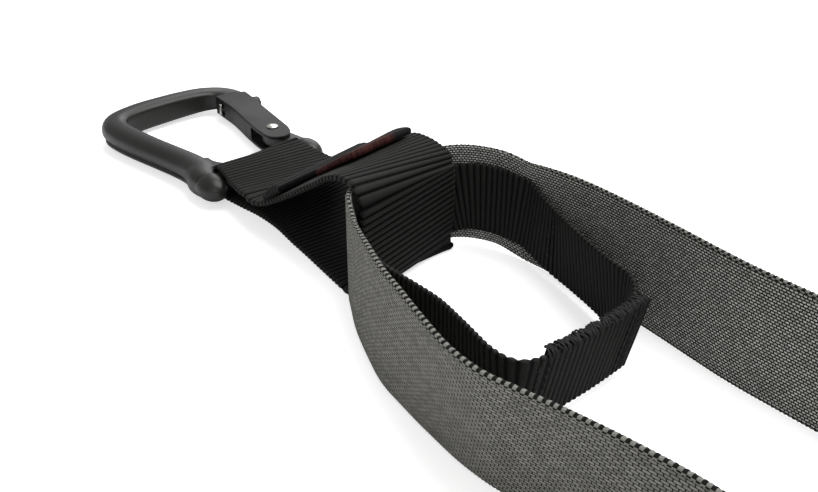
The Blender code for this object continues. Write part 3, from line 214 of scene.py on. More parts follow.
def ribbedCloth(name, look):
    # fibres between dark and light, and painted shade in the grooves between the ribs
    material, tree, shader, cloth = newCloth(name, look)
    ribs = useGroup(tree, ribGroup, {"Cloth": cloth, "Pitch": look["pitch"], "Thread": look["thread"]})
    fibres = mixed(tree, ribs["Fibre"], look["dark"], look["light"])
    tree.links.new(mixed(tree, ribs["GrooveShade"], fibres, look["groove"]), shader.inputs["Base Color"])
    bumped(tree, shader, ribs["Height"], look)
    return material


def floatWeave(tree, cloth, look):
    # what the float group gives for one weave, and the colour of its threads
    weave = useGroup(tree, floatGroup, {"Cloth": cloth, "Length": look["length"], "Width": look["row"],
                                        "Shift": look["shift"], "Cover": look["cover"]})
    return weave, mixed(tree, weave["Tone"], look["dull"], look["pale"])


def greyCloth(name, look):
    # one weave on the inner face, another on the outer one, and checks along both selvedges
    material, tree, shader, cloth = newCloth(name, look)
    side = addNode(tree, "ShaderNodeAttribute", attribute_name="side").outputs["Fac"]
    outerShare = ramp(tree, side, -0.05, 0.05)
    colours, heights = [], []
    for face in (look["inner"], look["outer"]):
        weave, threads = floatWeave(tree, cloth, face)
        colours.append(mixed(tree, weave["Mask"], face["ground"], threads))
        heights.append(weave["Height"])
    edge = useGroup(tree, selvedgeGroup, {"Cloth": cloth, "Half": strapSize["width"] / 2 + 0.0002,
                                          "Pitch": look["edgePitch"], "Row": look["edgeRow"]})
    checks = mixed(tree, edge["Light"], look["edgeDark"], look["edgeLight"])
    faces = mixed(tree, outerShare, *colours)
    tree.links.new(mixed(tree, edge["Edge"], faces, checks), shader.inputs["Base Color"])
    bumped(tree, shader, between(tree, outerShare, *heights), look)
    return material


def labelCloth(name, look):
    # a red weave that turns black at both selvedges
    material, tree, shader, cloth = newCloth(name, look)
    across = addNode(tree, "ShaderNodeSeparateXYZ", (cloth,)).outputs[1]
    weave, red = floatWeave(tree, cloth, look)
    back, front = ramp(tree, across, *look["backFade"]), ramp(tree, across, *look["frontFade"], 1.0, 0.0)
    fade = calc(tree, "MAXIMUM", back, front)
    tree.links.new(mixed(tree, fade, red, look["black"]), shader.inputs["Base Color"])
    bumped(tree, shader, weave["Height"], look)
    return material


def hardLook(name, look):
    # two tones and two roughnesses in slow clouds, and fine grain
    material, tree, shader = newMaterial(name, {"Metallic": look["metal"], "Specular IOR Level": look["gloss"]})
    place = addNode(tree, "ShaderNodeTexCoord").outputs["Object"]
    grain = useGroup(tree, grainGroup, {"Place": place, "Fine": look["fine"], "Cloud": look["cloud"]})
    tree.links.new(mixed(tree, grain["Cloud"], *look["tones"]), shader.inputs["Base Color"])
    tree.links.new(between(tree, grain["Cloud"], *look["rough"]), shader.inputs["Roughness"])
    bumped(tree, shader, grain["Height"], look)
    return material


# groove: the colour of the painted shade between the ribs, in both black cloths
blackCloth = {"rough": 0.60, "gloss": 0.07, "pitch": 0.0023, "thread": 0.00042, "bump": 0.6, "deep": 0.0002,
              "dark": (0.0030, 0.0030, 0.0030), "light": (0.050, 0.049, 0.0465), "groove": (0.0008, 0.0008, 0.0008)}
narrowCloth = dict(blackCloth, pitch=0.0021, thread=0.0005, groove=(0.0030, 0.0030, 0.0030),
                   light=(0.042, 0.0415, 0.0395))
strapCloth = {
    "rough": 0.75, "gloss": 0.12, "bump": 0.9, "deep": 0.00025, "edgePitch": 0.0021, "edgeRow": 0.00052,
    "edgeDark": (0.008, 0.008, 0.007), "edgeLight": (0.26, 0.257, 0.235),
    "outer": {"length": 0.0021, "row": 0.00085, "shift": 0.37, "cover": 0.82, "ground": (0.018, 0.018, 0.016),
              "dull": (0.22, 0.218, 0.196), "pale": (0.34, 0.336, 0.306)},
    "inner": {"length": 0.0013, "row": 0.00086, "shift": 0.50, "cover": 0.50, "ground": (0.022, 0.022, 0.020),
              "dull": (0.42, 0.418, 0.39), "pale": (0.70, 0.695, 0.66)}}
redCloth = {"rough": 0.75, "gloss": 0.12, "bump": 0.6, "deep": 0.0001, "length": 0.0012, "row": 0.0005,
            "shift": 0.5, "cover": 0.8, "dull": (0.022, 0.0068, 0.0060), "pale": (0.062, 0.019, 0.0165),
            "black": (0.012, 0.011, 0.011), "backFade": (0.0048, 0.0064), "frontFade": (-0.0230, -0.0220)}
alloy = {"metal": 0.0, "gloss": 0.40, "fine": 4200.0, "cloud": 45.0, "bump": 0.08, "deep": 0.0001,
         "tones": ((0.0105, 0.0110, 0.0095), (0.0125, 0.0130, 0.0113)), "rough": (0.34, 0.40)}
# A look is a material and its slot in the frame. The hard ones say what differs from the forged alloy.
looks = {"blackRibbed": (ribbedCloth("blackRibbed", blackCloth), "black_webbing"),
         "blackNarrow": (ribbedCloth("blackNarrow", narrowCloth), "black_webbing"),
         "greyStrap": (greyCloth("greyStrap", strapCloth), "grey_webbing"),
         "redLabel": (labelCloth("redLabel", redCloth), "label")}
hardLooks = (
    ("forged", "forgedAlloy", "forged_alloy", {}),
    ("folded", "foldedAlloy", "gate_alloy",
     {"gloss": 0.24, "tones": ((0.0070, 0.0074, 0.0065), (0.0092, 0.0096, 0.0086)), "rough": (0.40, 0.48)}),
    ("bright", "brightRivet", "bright_rivet",
     {"metal": 1.0, "tones": ((0.66, 0.65, 0.61), (0.74, 0.73, 0.69)), "rough": (0.20, 0.30), "bump": 0.04}),
    ("wire", "springWire", "spring_steel",
     {"metal": 1.0, "tones": ((0.34, 0.34, 0.33), (0.42, 0.42, 0.41)), "rough": (0.28, 0.36)}),
    ("plated", "platedSteel", "plated_steel",
     {"metal": 0.7, "tones": ((0.040, 0.040, 0.042), (0.055, 0.055, 0.058)), "rough": (0.30, 0.40)}),
    ("rubber", "gripRubber", "grip_rubber",
     {"gloss": 0.3, "fine": 1800.0, "bump": 0.5, "tones": ((0.018, 0.018, 0.019), (0.026, 0.026, 0.027)),
      "rough": (0.72, 0.82)}),
    ("plastic", "mouldedPlastic", "grip_plastic",
     {"gloss": 0.45, "fine": 2600.0, "bump": 0.25, "tones": ((0.024, 0.024, 0.026), (0.030, 0.030, 0.032)),
      "rough": (0.42, 0.50)}),
    ("thread", "sewingThread", "black_webbing",
     {"gloss": 0.3, "tones": ((0.011, 0.011, 0.011), (0.020, 0.020, 0.020)), "rough": (0.65, 0.75), "bump": 0.2}))
for look, name, slotName, changes in hardLooks:
    looks[look] = (hardLook(name, dict(alloy, **changes)), slotName)
print("stage: materials made")


# Surfaces
def ringQuads(rows, cols, closed=False):
    # the cells between rings of points; the first and the last ring meet, or each is closed flat
    r = np.arange(rows if closed else rows - 1)[:, None]
    c = np.arange(cols)[None, :]
    below, after = (r + 1) % rows, (c + 1) % cols
    corners = [r * cols + c, r * cols + after, below * cols + after, below * cols + c]
    quads = np.stack(corners, axis=-1).reshape(-1, 4)
    if closed:
        return quads
    j = np.arange(cols // 2 - 1)
    cap = np.stack([j, j + 1, cols - 2 - j, cols - 1 - j], axis=1)
    return np.vstack([quads, cap[:, ::-1], cap + (rows - 1) * cols])


def signedVolume(spots, quads):
    # sum of the tetrahedra from the origin to both triangles of every quad
    a, b, c, d = (spots[quads[:, k]] for k in range(4))
    return np.sum(a * np.cross(b, c)) + np.sum(a * np.cross(c, d))


def addPiece(name, mesh, look, body, node=None):
    # a smooth mesh as a piece that rides its body and stands for its node, where it has one
    material, slotName = looks[look]
    mesh.shade_smooth()
    mesh.materials.append(material)
    piece = bpy.data.objects.new(name, mesh)
    scene.collection.objects.link(piece)
    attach(piece, body)
    if node:
        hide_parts(node)
    return piece


def makePiece(name, spots, quads, look, body, node=None, cloth=None, side=None):
    # a mesh from points in the head's plan and quads, turned so that its faces point outwards
    spots = spots.reshape(-1, 3) + origin
    if signedVolume(spots - spots.mean(axis=0), quads) < 0:
        quads = quads[:, ::-1]
        cloth = None if cloth is None else cloth[:, ::-1]
    mesh = bpy.data.meshes.new(name)
    mesh.from_pydata(spots.tolist(), [], quads.tolist())
    if cloth is not None:
        mesh.uv_layers.new(name="cloth").data.foreach_set("uv", cloth.ravel())
        mesh.attributes.new("side", "FLOAT", "POINT").data.foreach_set("value", side.ravel().astype(np.float32))
    return addPiece(name, mesh, look, body, node)


def throughPoints(points, perSpan, closed=False):
    # Catmull-Rom curve: cubic spans whose slope at each point is half the chord between its neighbours
    p = np.array(points, float)
    q = np.vstack([p[-1:], p, p[:2]]) if closed else np.vstack([2 * p[:1] - p[1:2], p, 2 * p[-1:] - p[-2:-1]])
    a, b, c, d = (q[k:len(q) - 3 + k, None] for k in range(4))
    t = (np.arange(perSpan) / perSpan)[None, :, None]
    made = 0.5 * (2 * b + (c - a) * t + (2 * a - 5 * b + 4 * c - d) * t ** 2 + (3 * b - a - 3 * c + d) * t ** 3)
    made = made.reshape(-1, p.shape[1])
    return made if closed else np.vstack([made, p[-1:]])


def evenRows(rows, step, closed):
    # the same curve read off at equal steps of its length; the first three columns are the place
    fine = np.vstack([rows, rows[:1]]) if closed else rows
    gaps = np.linalg.norm(np.diff(fine[:, :3], axis=0), axis=1)
    at = np.concatenate([[0], np.cumsum(gaps)])
    count = max(4, int(round(at[-1] / step)))
    want = np.linspace(0, at[-1], count + 1)
    even = np.stack([np.interp(want, at, fine[:, k]) for k in range(fine.shape[1])], axis=1)
    return (even[:-1] if closed else even), at[-1]


def unit(vectors):
    # the same directions at length one
    return vectors / np.linalg.norm(vectors, axis=-1, keepdims=True)


def tangents(path, closed=False):
    # direction at each point, along the chord between its neighbours
    if closed:
        return unit(np.roll(path, -1, axis=0) - np.roll(path, 1, axis=0))
    return unit(np.gradient(path, axis=0))


def frameRows(centres, across, width, thick):
    # place, width direction, width and thickness side by side, one row a station
    parts = [np.reshape(across, (-1, 3)), np.reshape(width, (-1, 1)), np.reshape(thick, (-1, 1))]
    return np.hstack([centres] + [np.broadcast_to(part, (len(centres), part.shape[1])) for part in parts])


# How far in from a band's edge its outermost columns lie, how thin it gets there, and how wide its beads are
bandEdge = {"columns": np.array([0, 0.00012, 0.00036, 0.0008, 0.0014, 0.0022]), "least": 0.35, "beads": 0.0010}


def wovenBand(name, rows, look, body, node, weave, closed=False):
    # At each even step s of the band's length: place = centre + across * x + face * z, where z is half the
    # thickness, rounded off at both edges, plus rib height * (|sin(pi s / pitch)|^0.8 - 0.6), and the edges
    # swell by edge height * (|sin(pi s / edge pitch)| - 0.5). Where a place is under the floor both faces
    # rise by its depth.
    even, length = evenRows(rows, weave["pitch"] / weave["perRib"], closed)
    count = len(even)
    s = length * np.arange(count) / (count if closed else count - 1)
    pitch = length / round(length / weave["pitch"]) if closed else weave["pitch"]
    centre, half, thin = even[:, :3], even[:, 6:7] / 2, even[:, 7:8] / 2
    along = tangents(centre, closed)
    across = unit(even[:, 3:6] - along * np.sum(even[:, 3:6] * along, axis=1, keepdims=True))
    face = np.cross(along, across)
    typical = float(np.mean(half))
    near = 1 - bandEdge["columns"] / typical
    x = np.concatenate([-near, np.linspace(-near[-1], near[-1], weave["columns"])[1:-1], near[::-1]])
    inside = (1 - np.abs(x)) * typical
    rounded = np.maximum(bandEdge["least"], np.sqrt(1 - (1 - np.minimum(inside / thin.mean(), 1)) ** 2))
    edgeShare = np.exp(-(inside / bandEdge["beads"]) ** 2)
    ribs = weave["rib"] * (np.abs(np.sin(math.pi * s / pitch)) ** 0.8 - 0.6)[:, None] * (1 - 0.5 * edgeShare)
    beads = weave["edge"] * (np.abs(np.sin(math.pi * s / weave["edgePitch"])) - 0.5)[:, None] * edgeShare
    sideways = across[:, None] * (x * half + np.sign(x) * beads)[..., None]
    lift = face[:, None] * (thin * rounded + ribs + beads)[..., None]
    top, low = centre[:, None] + sideways + lift, centre[:, None] + sideways - lift
    depth = np.minimum(np.minimum(top[..., 2], low[..., 2]), 0)
    top[..., 2] -= depth
    low[..., 2] -= depth
    grid = np.concatenate([top, low[:, ::-1]], axis=1)
    cols = grid.shape[1]
    quads = ringQuads(count, cols, closed)
    u = s * (weave["pitch"] / pitch)
    v = x * half + np.sign(x) * (1 - rounded) * thin
    v = np.concatenate([v, v[:, ::-1]], axis=1)
    cloth = np.stack([np.repeat(u[:, None], cols, axis=1), v], axis=-1).reshape(-1, 2)[quads]
    if closed:
        cloth[-cols:, 2:4, 0] = length * weave["pitch"] / pitch
    else:
        cloth[1 - cols // 2:, :, 0] = 0
    side = np.broadcast_to(np.concatenate([rounded, -rounded[::-1]]), (count, cols))
    piece = makePiece(name, grid, quads, look, body, node, cloth, side)
    return {"centre": centre, "across": across, "face": face, "half": half[:, 0], "thin": thin[:, 0], "s": s,
            "length": length, "rib": weave["rib"]}


def rings(middle, spoke, other, radius, sides):
    # a circle round each place of a line: middle + radius * (spoke * cos a + other * sin a)
    a = (np.arange(sides) * math.tau / sides)[:, None]
    return middle[..., None, :] + radius * (np.cos(a) * spoke[..., None, :] + np.sin(a) * other[..., None, :])


def threadPiece(name, middle, spoke, other, radius):
    # beads of thread, each a row of six-sided rings closed at both ends
    grid = rings(middle, spoke, other, radius, 6)
    beads, rows = grid.shape[:2]
    quads = ringQuads(rows, 6) + (np.arange(beads) * rows * 6)[:, None, None]
    makePiece(name, grid, quads.reshape(-1, 4), "thread", "webbing")


def seams(name, band, runs, side, thread):
    # Each stitch is a short bent bead from one needle hole to the next: along t from 0 to 1 it stands
    # rise * sin(pi t) off the cloth, and its thickness is radius * (1 - (2t - 1)^4)^(1/2) round its line.
    holes = []
    for s0, x0, s1, x1 in runs:
        span = math.hypot(s1 - s0, (x1 - x0) * float(np.mean(band["half"])))
        count = max(1, int(round(span / thread["pitch"])))
        step = np.array((s1 - s0, x1 - x0)) / count
        starts = np.array((s0, x0)) + np.arange(count)[:, None] * step
        holes.append(np.stack([starts + step * thread["gap"], starts + step * (1 - thread["gap"])], axis=1))
    holes = np.vstack(holes)
    row = np.clip(np.searchsorted(band["s"], holes[..., 0]), 0, len(band["s"]) - 1)
    aside, lift = holes[..., 1] * band["half"][row], side * (band["thin"][row] + band["rib"] * 0.3)
    ends = band["centre"][row] + band["across"][row] * aside[..., None] + band["face"][row] * lift[..., None]
    normal = band["face"][row[:, 0]][:, None] * side
    beside = np.cross(unit(ends[:, 1:] - ends[:, :1]), normal)
    t = np.linspace(0, 1, 6)[:, None]
    middle = ends[:, :1] * (1 - t) + ends[:, 1:] * t + normal * thread["rise"] * np.sin(math.pi * t)
    radius = thread["radius"] * np.sqrt(np.maximum(0.05, 1 - (2 * t - 1) ** 4))
    threadPiece(name, middle, normal, beside, radius[..., None])


def spokes(axis):
    # an axis of length one and two directions square to it and to each other
    axis = unit(np.array(axis, float))
    first = unit(np.cross(axis, (0.0, 0.0, 1.0) if abs(axis[2]) < 0.9 else (1.0, 0.0, 0.0)))
    return axis, first, np.cross(axis, first)


def turnedGrid(profile, centre, axis, steps, knurl=None):
    # A profile (radius, along) carried round an axis: place = centre + axis * along + outwards * radius,
    # with the radius cut by depth * |cos(count * angle / 2)| where the piece is knurled.
    radius, along = np.array(profile, float).T[..., None]
    axis, first, other = spokes(axis)
    if knurl:
        angle = np.arange(steps) * math.tau / steps
        span = (along > knurl["from"]) & (along < knurl["to"])
        radius = radius - span * knurl["depth"] * np.abs(np.cos(knurl["count"] * angle / 2))
    return rings(np.array(centre) + axis * along, first, other, radius[..., None], steps)


def turnedPiece(name, profile, centre, axis, steps, look, body, node, ring=False, knurl=None):
    # a turned grid as a piece; with ring its profile is a closed one, as of a tube
    grid = turnedGrid(profile, centre, axis, steps, knurl)
    makePiece(name, grid, ringQuads(len(grid), steps, ring), look, body, node)


def pinProfile(radius, half, dome):
    # a plain pin with one dome at each end, whose points are (radius, height past the pin)
    top, foot = [(r, half + h) for r, h in dome], [(r, -half - h) for r, h in reversed(dome)]
    return top + [(radius, half), (radius, -half)] + foot


def tubePiece(name, path, radius, sides, reference, look, body, node, closed=False):
    # A circle carried along a path: its first spoke is square to the path and to the reference direction
    way = tangents(path, closed)
    spoke = unit(np.cross(way, np.array(reference, float)))
    grid = rings(path, spoke, np.cross(way, spoke), radius, sides)
    makePiece(name, grid, ringQuads(len(path), sides, closed), look, body, node)


def settled(piece, look):
    # melts the joined solids of a piece into one skin and rounds its creases
    melt = piece.modifiers.new("melt", "REMESH")
    melt.mode, melt.voxel_size, melt.use_smooth_shade = "VOXEL", look["voxel"], True
    soften = piece.modifiers.new("soften", "SMOOTH")
    soften.factor, soften.iterations = 0.5, look["passes"]
    done = bpy.data.meshes.new_from_object(piece.evaluated_get(bpy.context.evaluated_depsgraph_get()))
    piece.modifiers.clear()
    done.materials.clear()
    done.materials.append(piece.data.materials[0])
    piece.data = done
    done.shade_smooth()


def dressedCopy(node, look, body, width=0.0):
    # the CAD node's own shape with its doubles merged and, where a width is given, its edges rounded
    crease = math.radians(35)
    shape = bmesh.new()
    shape.from_mesh(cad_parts[node].data)
    bmesh.ops.remove_doubles(shape, verts=shape.verts, dist=0.000002)
    bmesh.ops.dissolve_limit(shape, angle_limit=math.radians(1), verts=shape.verts, edges=shape.edges)
    mesh = bpy.data.meshes.new(node + "Dressed")
    shape.to_mesh(mesh)
    shape.free()
    piece = addPiece(node + "Dressed", mesh, look, body, node)
    mesh.set_sharp_from_angle(angle=crease)
    if width:
        edge = piece.modifiers.new("edge", "BEVEL")
        edge.width, edge.segments, edge.limit_method, edge.angle_limit = width, 2, "ANGLE", crease
        edge.harden_normals = True
    return piece


# Camera, at the photograph's place
cameraLook = {"place": (0.0152, -0.1688, 0.1620), "lens": 42.07, "sensor": 36.0, "heading": (-0.788, 0.616),
              "down": 28.0}
camera = bpy.data.objects.new("camera", bpy.data.cameras.new("camera"))
camera.data.sensor_width, camera.data.lens = cameraLook["sensor"], cameraLook["lens"]
camera.data.clip_start = 0.01
camera.location = cameraLook["place"]
heading = math.atan2(-cameraLook["heading"][0], cameraLook["heading"][1])
camera.rotation_euler = (math.radians(90 - cameraLook["down"]), 0, heading)
scene.collection.objects.link(camera)
scene.camera = camera
print("stage: camera set")

# Carabiner
bodySize = {"length": 0.0930, "spread": 0.0600, "middleY": 0.0050, "width": 0.0122, "height": 0.0112,
            "roundness": 0.8, "groove": 0.0021, "grooveAt": -0.0021, "grooveWidth": 0.0009}
barSize = {"radius": 0.0045, "spacing": 0.0502, "skew": math.radians(10)}
earSize = {"radius": 0.0066, "half": 0.00598, "deep": 1.28, "tall": 0.82}
gateSize = {"reach": 0.0520, "height": 0.0086, "wall": 0.0014, "width": 0.0180, "gap": 0.0005, "outerFace": 0.413,
            "webAt": (0.79, 0.97), "web": (-0.392, -0.420), "voxel": 0.00030, "passes": 3}
castSize = {"lug": 0.0047, "shoulder": 0.0049, "voxel": 0.00042, "passes": 6,
            "tongue": ((0.0407, -0.0015), (0.0407, 0.0025), (0.0575, 0.0025), (0.0575, -0.0015))}
barZ = loopSize["thick"] + clear + barSize["radius"] + clear
barMiddle = np.array((0, bodySize["middleY"], barZ))
barLine = np.array((-math.sin(barSize["skew"]), math.cos(barSize["skew"]), 0))
# The body's line as shares of its length and spread, from the bar's front ear round to the nose
bodyPath = np.array([
    (-0.022, -0.420), (0.038, -0.410), (0.092, -0.378), (0.183, -0.377), (0.290, -0.403), (0.430, -0.445),
    (0.581, -0.488), (0.710, -0.512), (0.795, -0.508), (0.860, -0.458), (0.905, -0.352), (0.939, -0.192),
    (0.960, -0.008), (0.974, 0.158), (0.977, 0.317), (0.950, 0.440), (0.900, 0.500), (0.830, 0.513)])
# Each row: shares of width, height, inner half width left by the flat, and groove depth
bodySection = np.array([
    (0.84, 0.92, 1.00, 0.0), (0.98, 0.98, 1.00, 0.0), (1.04, 1.00, 1.00, 0.2), (1.02, 1.00, 1.00, 1.0),
    (0.98, 1.00, 1.00, 1.0), (0.98, 1.00, 1.00, 1.0), (1.00, 1.02, 0.98, 1.0), (1.02, 1.04, 0.92, 1.0),
    (1.02, 1.06, 0.88, 1.0), (1.00, 1.08, 0.86, 1.0), (1.00, 1.08, 0.84, 1.0), (1.02, 1.08, 0.84, 1.0),
    (1.00, 1.06, 0.84, 1.0), (1.00, 1.02, 0.84, 1.0), (1.04, 0.95, 0.84, 0.6), (1.12, 0.86, 0.84, 0.0),
    (1.18, 0.80, 0.84, 0.0), (1.20, 0.785, 0.84, 0.0)])
shoulderOutline = np.array([
    (0.145, -0.285), (0.105, -0.278), (0.071, -0.262), (0.050, -0.243), (0.045, -0.270), (0.040, -0.310),
    (0.037, -0.350), (0.060, -0.390), (0.130, -0.360)])
lugOutline = np.array([
    (0.301, 0.298), (0.215, 0.302), (0.145, 0.362), (0.040, 0.371), (0.000, 0.450), (0.050, 0.482),
    (0.140, 0.480), (0.240, 0.458), (0.301, 0.446)])


def bodyPlan(shares):
    # along towards the nose is -X, out towards the gate is +Y
    return np.array(shares, float) * (-bodySize["length"], bodySize["spread"]) + (0, bodySize["middleY"])


pivot = np.array((*bodyPlan((0.301, 0.372)), barZ))
gateEnd = np.array((*bodyPlan((0.850, 0.492)), barZ))
gateLine = unit(gateEnd - pivot)
gateOut = np.array((gateLine[1], -gateLine[0], 0))


def gatePlace(along, out):
    # a place on the gate: so far along its line from the pivot, and out from that line
    return pivot + gateLine * along + gateOut * out


def joinShapes(shapes):
    # several closed shapes as one set of points and quads, each with its faces outwards
    spots, quads, base = [], [], 0
    for shape in shapes:
        faces, places = ringQuads(*shape.shape[:2]), shape.reshape(-1, 3)
        if signedVolume(places - places.mean(axis=0), faces) < 0:
            places = shape[:, ::-1].reshape(-1, 3)
        spots.append(places)
        quads.append(faces + base)
        base += len(places)
    return np.vstack(spots), np.vstack(quads)


def carabinerSweep():
    # Section: (cos a)^0.8 by (sin a)^0.8 of half the width and height. The outer side is cut by a groove of
    # depth * exp(-((up - groove's height) / groove's width)^2), and the inner one flat at a share of the half
    # width. The nose ends at the gate's reach and gap from the pivot.
    path, sizes = throughPoints(bodyPlan(bodyPath), 8), throughPoints(bodySection, 8)
    way = tangents(path)
    out = np.stack([way[:, 1], -way[:, 0]], axis=1)
    angle = (np.arange(72) + 0.5) * math.tau / 72
    wide, tall, flat, groove = (sizes[:, k:k + 1] for k in range(4))
    wide, tall = wide * bodySize["width"] / 2, tall * bodySize["height"] / 2
    reach, up = (np.sign(wave) * np.abs(wave) ** bodySize["roundness"] * half
                 for wave, half in ((np.cos(angle), wide), (np.sin(angle), tall)))
    cut = np.exp(-((up - bodySize["grooveAt"]) / bodySize["grooveWidth"]) ** 2)
    reach = np.maximum(reach - (np.cos(angle) > 0) * groove * bodySize["groove"] * cut, -flat * wide)
    plan = path[:, None] - out[:, None] * reach[..., None]
    spots = np.concatenate([plan, barZ + up[..., None]], axis=-1)
    away = spots[..., :2] - pivot[:2]
    far = np.linalg.norm(away, axis=-1, keepdims=True)
    stop = gateSize["reach"] + gateSize["gap"]
    nose = (np.arange(len(path)) > len(path) * 0.8)[:, None, None] & (far < stop)
    spots[..., :2] = np.where(nose, pivot[:2] + away * stop / far, spots[..., :2])
    return spots


def makeCarabiner():
    # the sweep, two ears, the bar, the hinge's round lug, and lug, shoulder and tongue as slabs, in one skin
    rise = (gateSize["height"] - 2 * gateSize["wall"] - 2 * clear) / 2
    turn = np.linspace(0, math.pi, 15)
    dome = np.stack([earSize["radius"] * np.maximum(0.05, np.sin(turn)), -earSize["half"] * np.cos(turn)], axis=1)
    shapes = [carabinerSweep()]
    for share in (-1, 1):
        middle = barMiddle + barLine * share * barSize["spacing"] / 2
        ear = turnedGrid(dome, middle, barLine, 32) - middle
        shapes.append(middle + ear * (earSize["deep"], 1, earSize["tall"]))
    rod = [(barSize["radius"], along) for along in np.linspace(-0.5, 0.5, 30) * barSize["spacing"]]
    shapes.append(turnedGrid(rod, barMiddle, barLine, 32))
    shapes.append(turnedGrid([(castSize["lug"], up) for up in (-rise, 0, rise)], pivot, (0, 0, 1), 32))
    lug, shoulder = (throughPoints(bodyPlan(outline), 4, True) for outline in (lugOutline, shoulderOutline))
    tongue = np.array([gatePlace(*corner)[:2] for corner in castSize["tongue"]])
    for outline, half in ((lug, rise), (shoulder, castSize["shoulder"]), (tongue, rise)):
        shapes.append(np.stack([np.insert(outline, 2, barZ + up, axis=1) for up in (-half, half)]))
    settled(makePiece("carabiner", *joinShapes(shapes), "forged", "carabiner", "carabiner_body"), castSize)


makeCarabiner()
settled(dressedCopy("gate", "folded", "gate"), gateSize)
rivetLook = {"radius": 0.0017, "dome": ((0.0008, 0.00070), (0.0014, 0.00062), (0.0020, 0.00045),
                                        (0.0024, 0.00025), (0.0026, 0.00010), (0.0026, 0.0))}
rivetProfile = pinProfile(rivetLook["radius"], gateSize["height"] / 2 + clear, rivetLook["dome"])
turnedPiece("pivotRivet", rivetProfile, pivot, (0, 0, 1), 40, "bright", "carabiner", "gate_pivot_rivet")

# Lock knob: foot and crown are points of its profile as (radius, distance from that end)
knobLook = {"place": 0.0440, "length": 0.0038, "shank": 0.0011, "teeth": 22, "cut": 0.00024,
            "bar": (0.0022, 0.0010, 0.0050), "barCorner": 0.0002,
            "foot": ((0.0027, 0.0001), (0.0031, 0.0004), (0.0032, 0.0006)),
            "crown": ((0.0032, 0.0008), (0.0030, 0.0004), (0.0026, 0.0001), (0.0014, 0.0))}
knobStart = gateSize["outerFace"] * gateSize["width"] + clear
knobEnd = knobStart + knobLook["length"]
webIn = np.interp(knobLook["place"] / gateSize["reach"], gateSize["webAt"], gateSize["web"]) * gateSize["width"]
knobProfile = [(knobLook["shank"], webIn - clear / 3), (knobLook["shank"], knobStart)]
knobProfile += [(r, knobStart + t) for r, t in knobLook["foot"]]
knobProfile += [(r, knobEnd - t) for r, t in knobLook["crown"]]
knurl = {"from": knobStart + 0.0003, "to": knobEnd - 0.0002, "depth": knobLook["cut"], "count": knobLook["teeth"]}
turnedPiece("lockKnob", knobProfile, gatePlace(knobLook["place"], 0), gateOut, 88, "plated", "lock", "lock_knob",
            knurl=knurl)


def roundedBar(name, centre, axes, sizes, corner, look, body, node):
    # Rings of a rectangle whose corners are quarter circles; the ends draw in by corner * (1 - sin a)
    a = np.radians((0, 22.5, 45, 67.5, 90, 90, 67.5, 45, 22.5, 0))
    turn = np.radians((np.arange(32) + 0.5) * 11.25)
    inset = corner * (2 - np.sin(a))[:, None]
    x, y = (np.sign(wave) * (size / 2 - inset) + corner * wave
            for wave, size in ((np.cos(turn), sizes[0]), (np.sin(turn), sizes[1])))
    along = np.repeat((-1, 1), 5) * (sizes[2] / 2 - corner * (1 - np.cos(a)))
    grid = centre + x[..., None] * axes[0] + y[..., None] * axes[1] + along[:, None, None] * axes[2]
    makePiece(name, grid, ringQuads(10, 32), look, body, node)


studPlace = gatePlace(knobLook["place"], webIn - clear - clear / 3 - knobLook["bar"][1] / 2)
roundedBar("knobStud", studPlace, (gateLine, gateOut, upward), knobLook["bar"], knobLook["barCorner"], "bright",
           "lock", "knob_rivet")


def coilPath(start, axis, coil, length):
    # a helix of 24 points a turn: it advances length over its turns while it goes round the axis at the radius
    t = np.linspace(0, 1, coil["turns"] * 24 + 1)[:, None]
    axis, first, other = spokes(axis)
    angle = t * coil["turns"] * math.tau
    return np.array(start) + axis * length * t + coil["radius"] * (np.cos(angle) * first + np.sin(angle) * other)


gateCoil = {"radius": 0.0022, "turns": 4, "wire": 0.00035, "start": 0.0061, "length": 0.0147}
gateHelix = coilPath(gatePlace(gateCoil["start"], 0), gateLine, gateCoil, gateCoil["length"])
tubePiece("gateSpring", gateHelix, gateCoil["wire"], 8, gateLine, "wire", "gate", "gate_spring")
print("stage: carabiner made")

# Equaliser loop, its seam and label
# Each row: place along and across in head spans, height as a share of strapTop
loopFront = np.array([
    (0.10, -0.155, 0.325), (0.22, -0.168, 0.306), (0.34, -0.180, 0.330), (0.43, -0.188, 0.385),
    (0.56, -0.180, 0.554), (0.70, -0.175, 0.770), (0.78, -0.170, 0.890), (0.85, -0.168, 0.988),
    (0.925, -0.168, 1.046), (0.980, -0.170, 1.036), (1.013, -0.170, 0.96), (1.021, -0.170, 0.86),
    (1.021, -0.170, 0.53), (1.021, -0.170, 0.16), (1.018, -0.170, 0.080), (1.006, -0.170, 0.036),
    (0.988, -0.170, 0.026)])
loopBack = np.array([
    (0.03, 0.258, 0.332), (0.12, 0.264, 0.319), (0.22, 0.258, 0.311), (0.30, 0.256, 0.332),
    (0.44, 0.266, 0.580), (0.60, 0.270, 0.844), (0.71, 0.265, 0.998), (0.79, 0.258, 1.042),
    (0.86, 0.252, 1.046), (0.92, 0.252, 1.030), (0.952, 0.254, 0.96), (0.957, 0.258, 0.86),
    (0.930, 0.282, 0.50), (0.905, 0.298, 0.19), (0.894, 0.297, 0.095), (0.875, 0.293, 0.042),
    (0.852, 0.290, 0.028)])
underFront = np.array([
    (0.94, -0.168, 0.0), (0.74, -0.152, 0.0), (0.58, -0.136, 0.0), (0.41, -0.116, 0.0), (0.27, -0.116, 0.0),
    (0.15, -0.132, 0.0)])
underBack = np.array([
    (0.82, 0.290, 0.0), (0.66, 0.288, 0.012), (0.50, 0.280, 0.070), (0.34, 0.270, 0.140), (0.20, 0.266, 0.110),
    (0.08, 0.264, 0.03)])
strandSteps = 24
coarseRib = {"pitch": 0.0023, "perRib": 9, "rib": 0.00068, "edge": 0.00028, "edgePitch": 0.0023, "columns": 16}
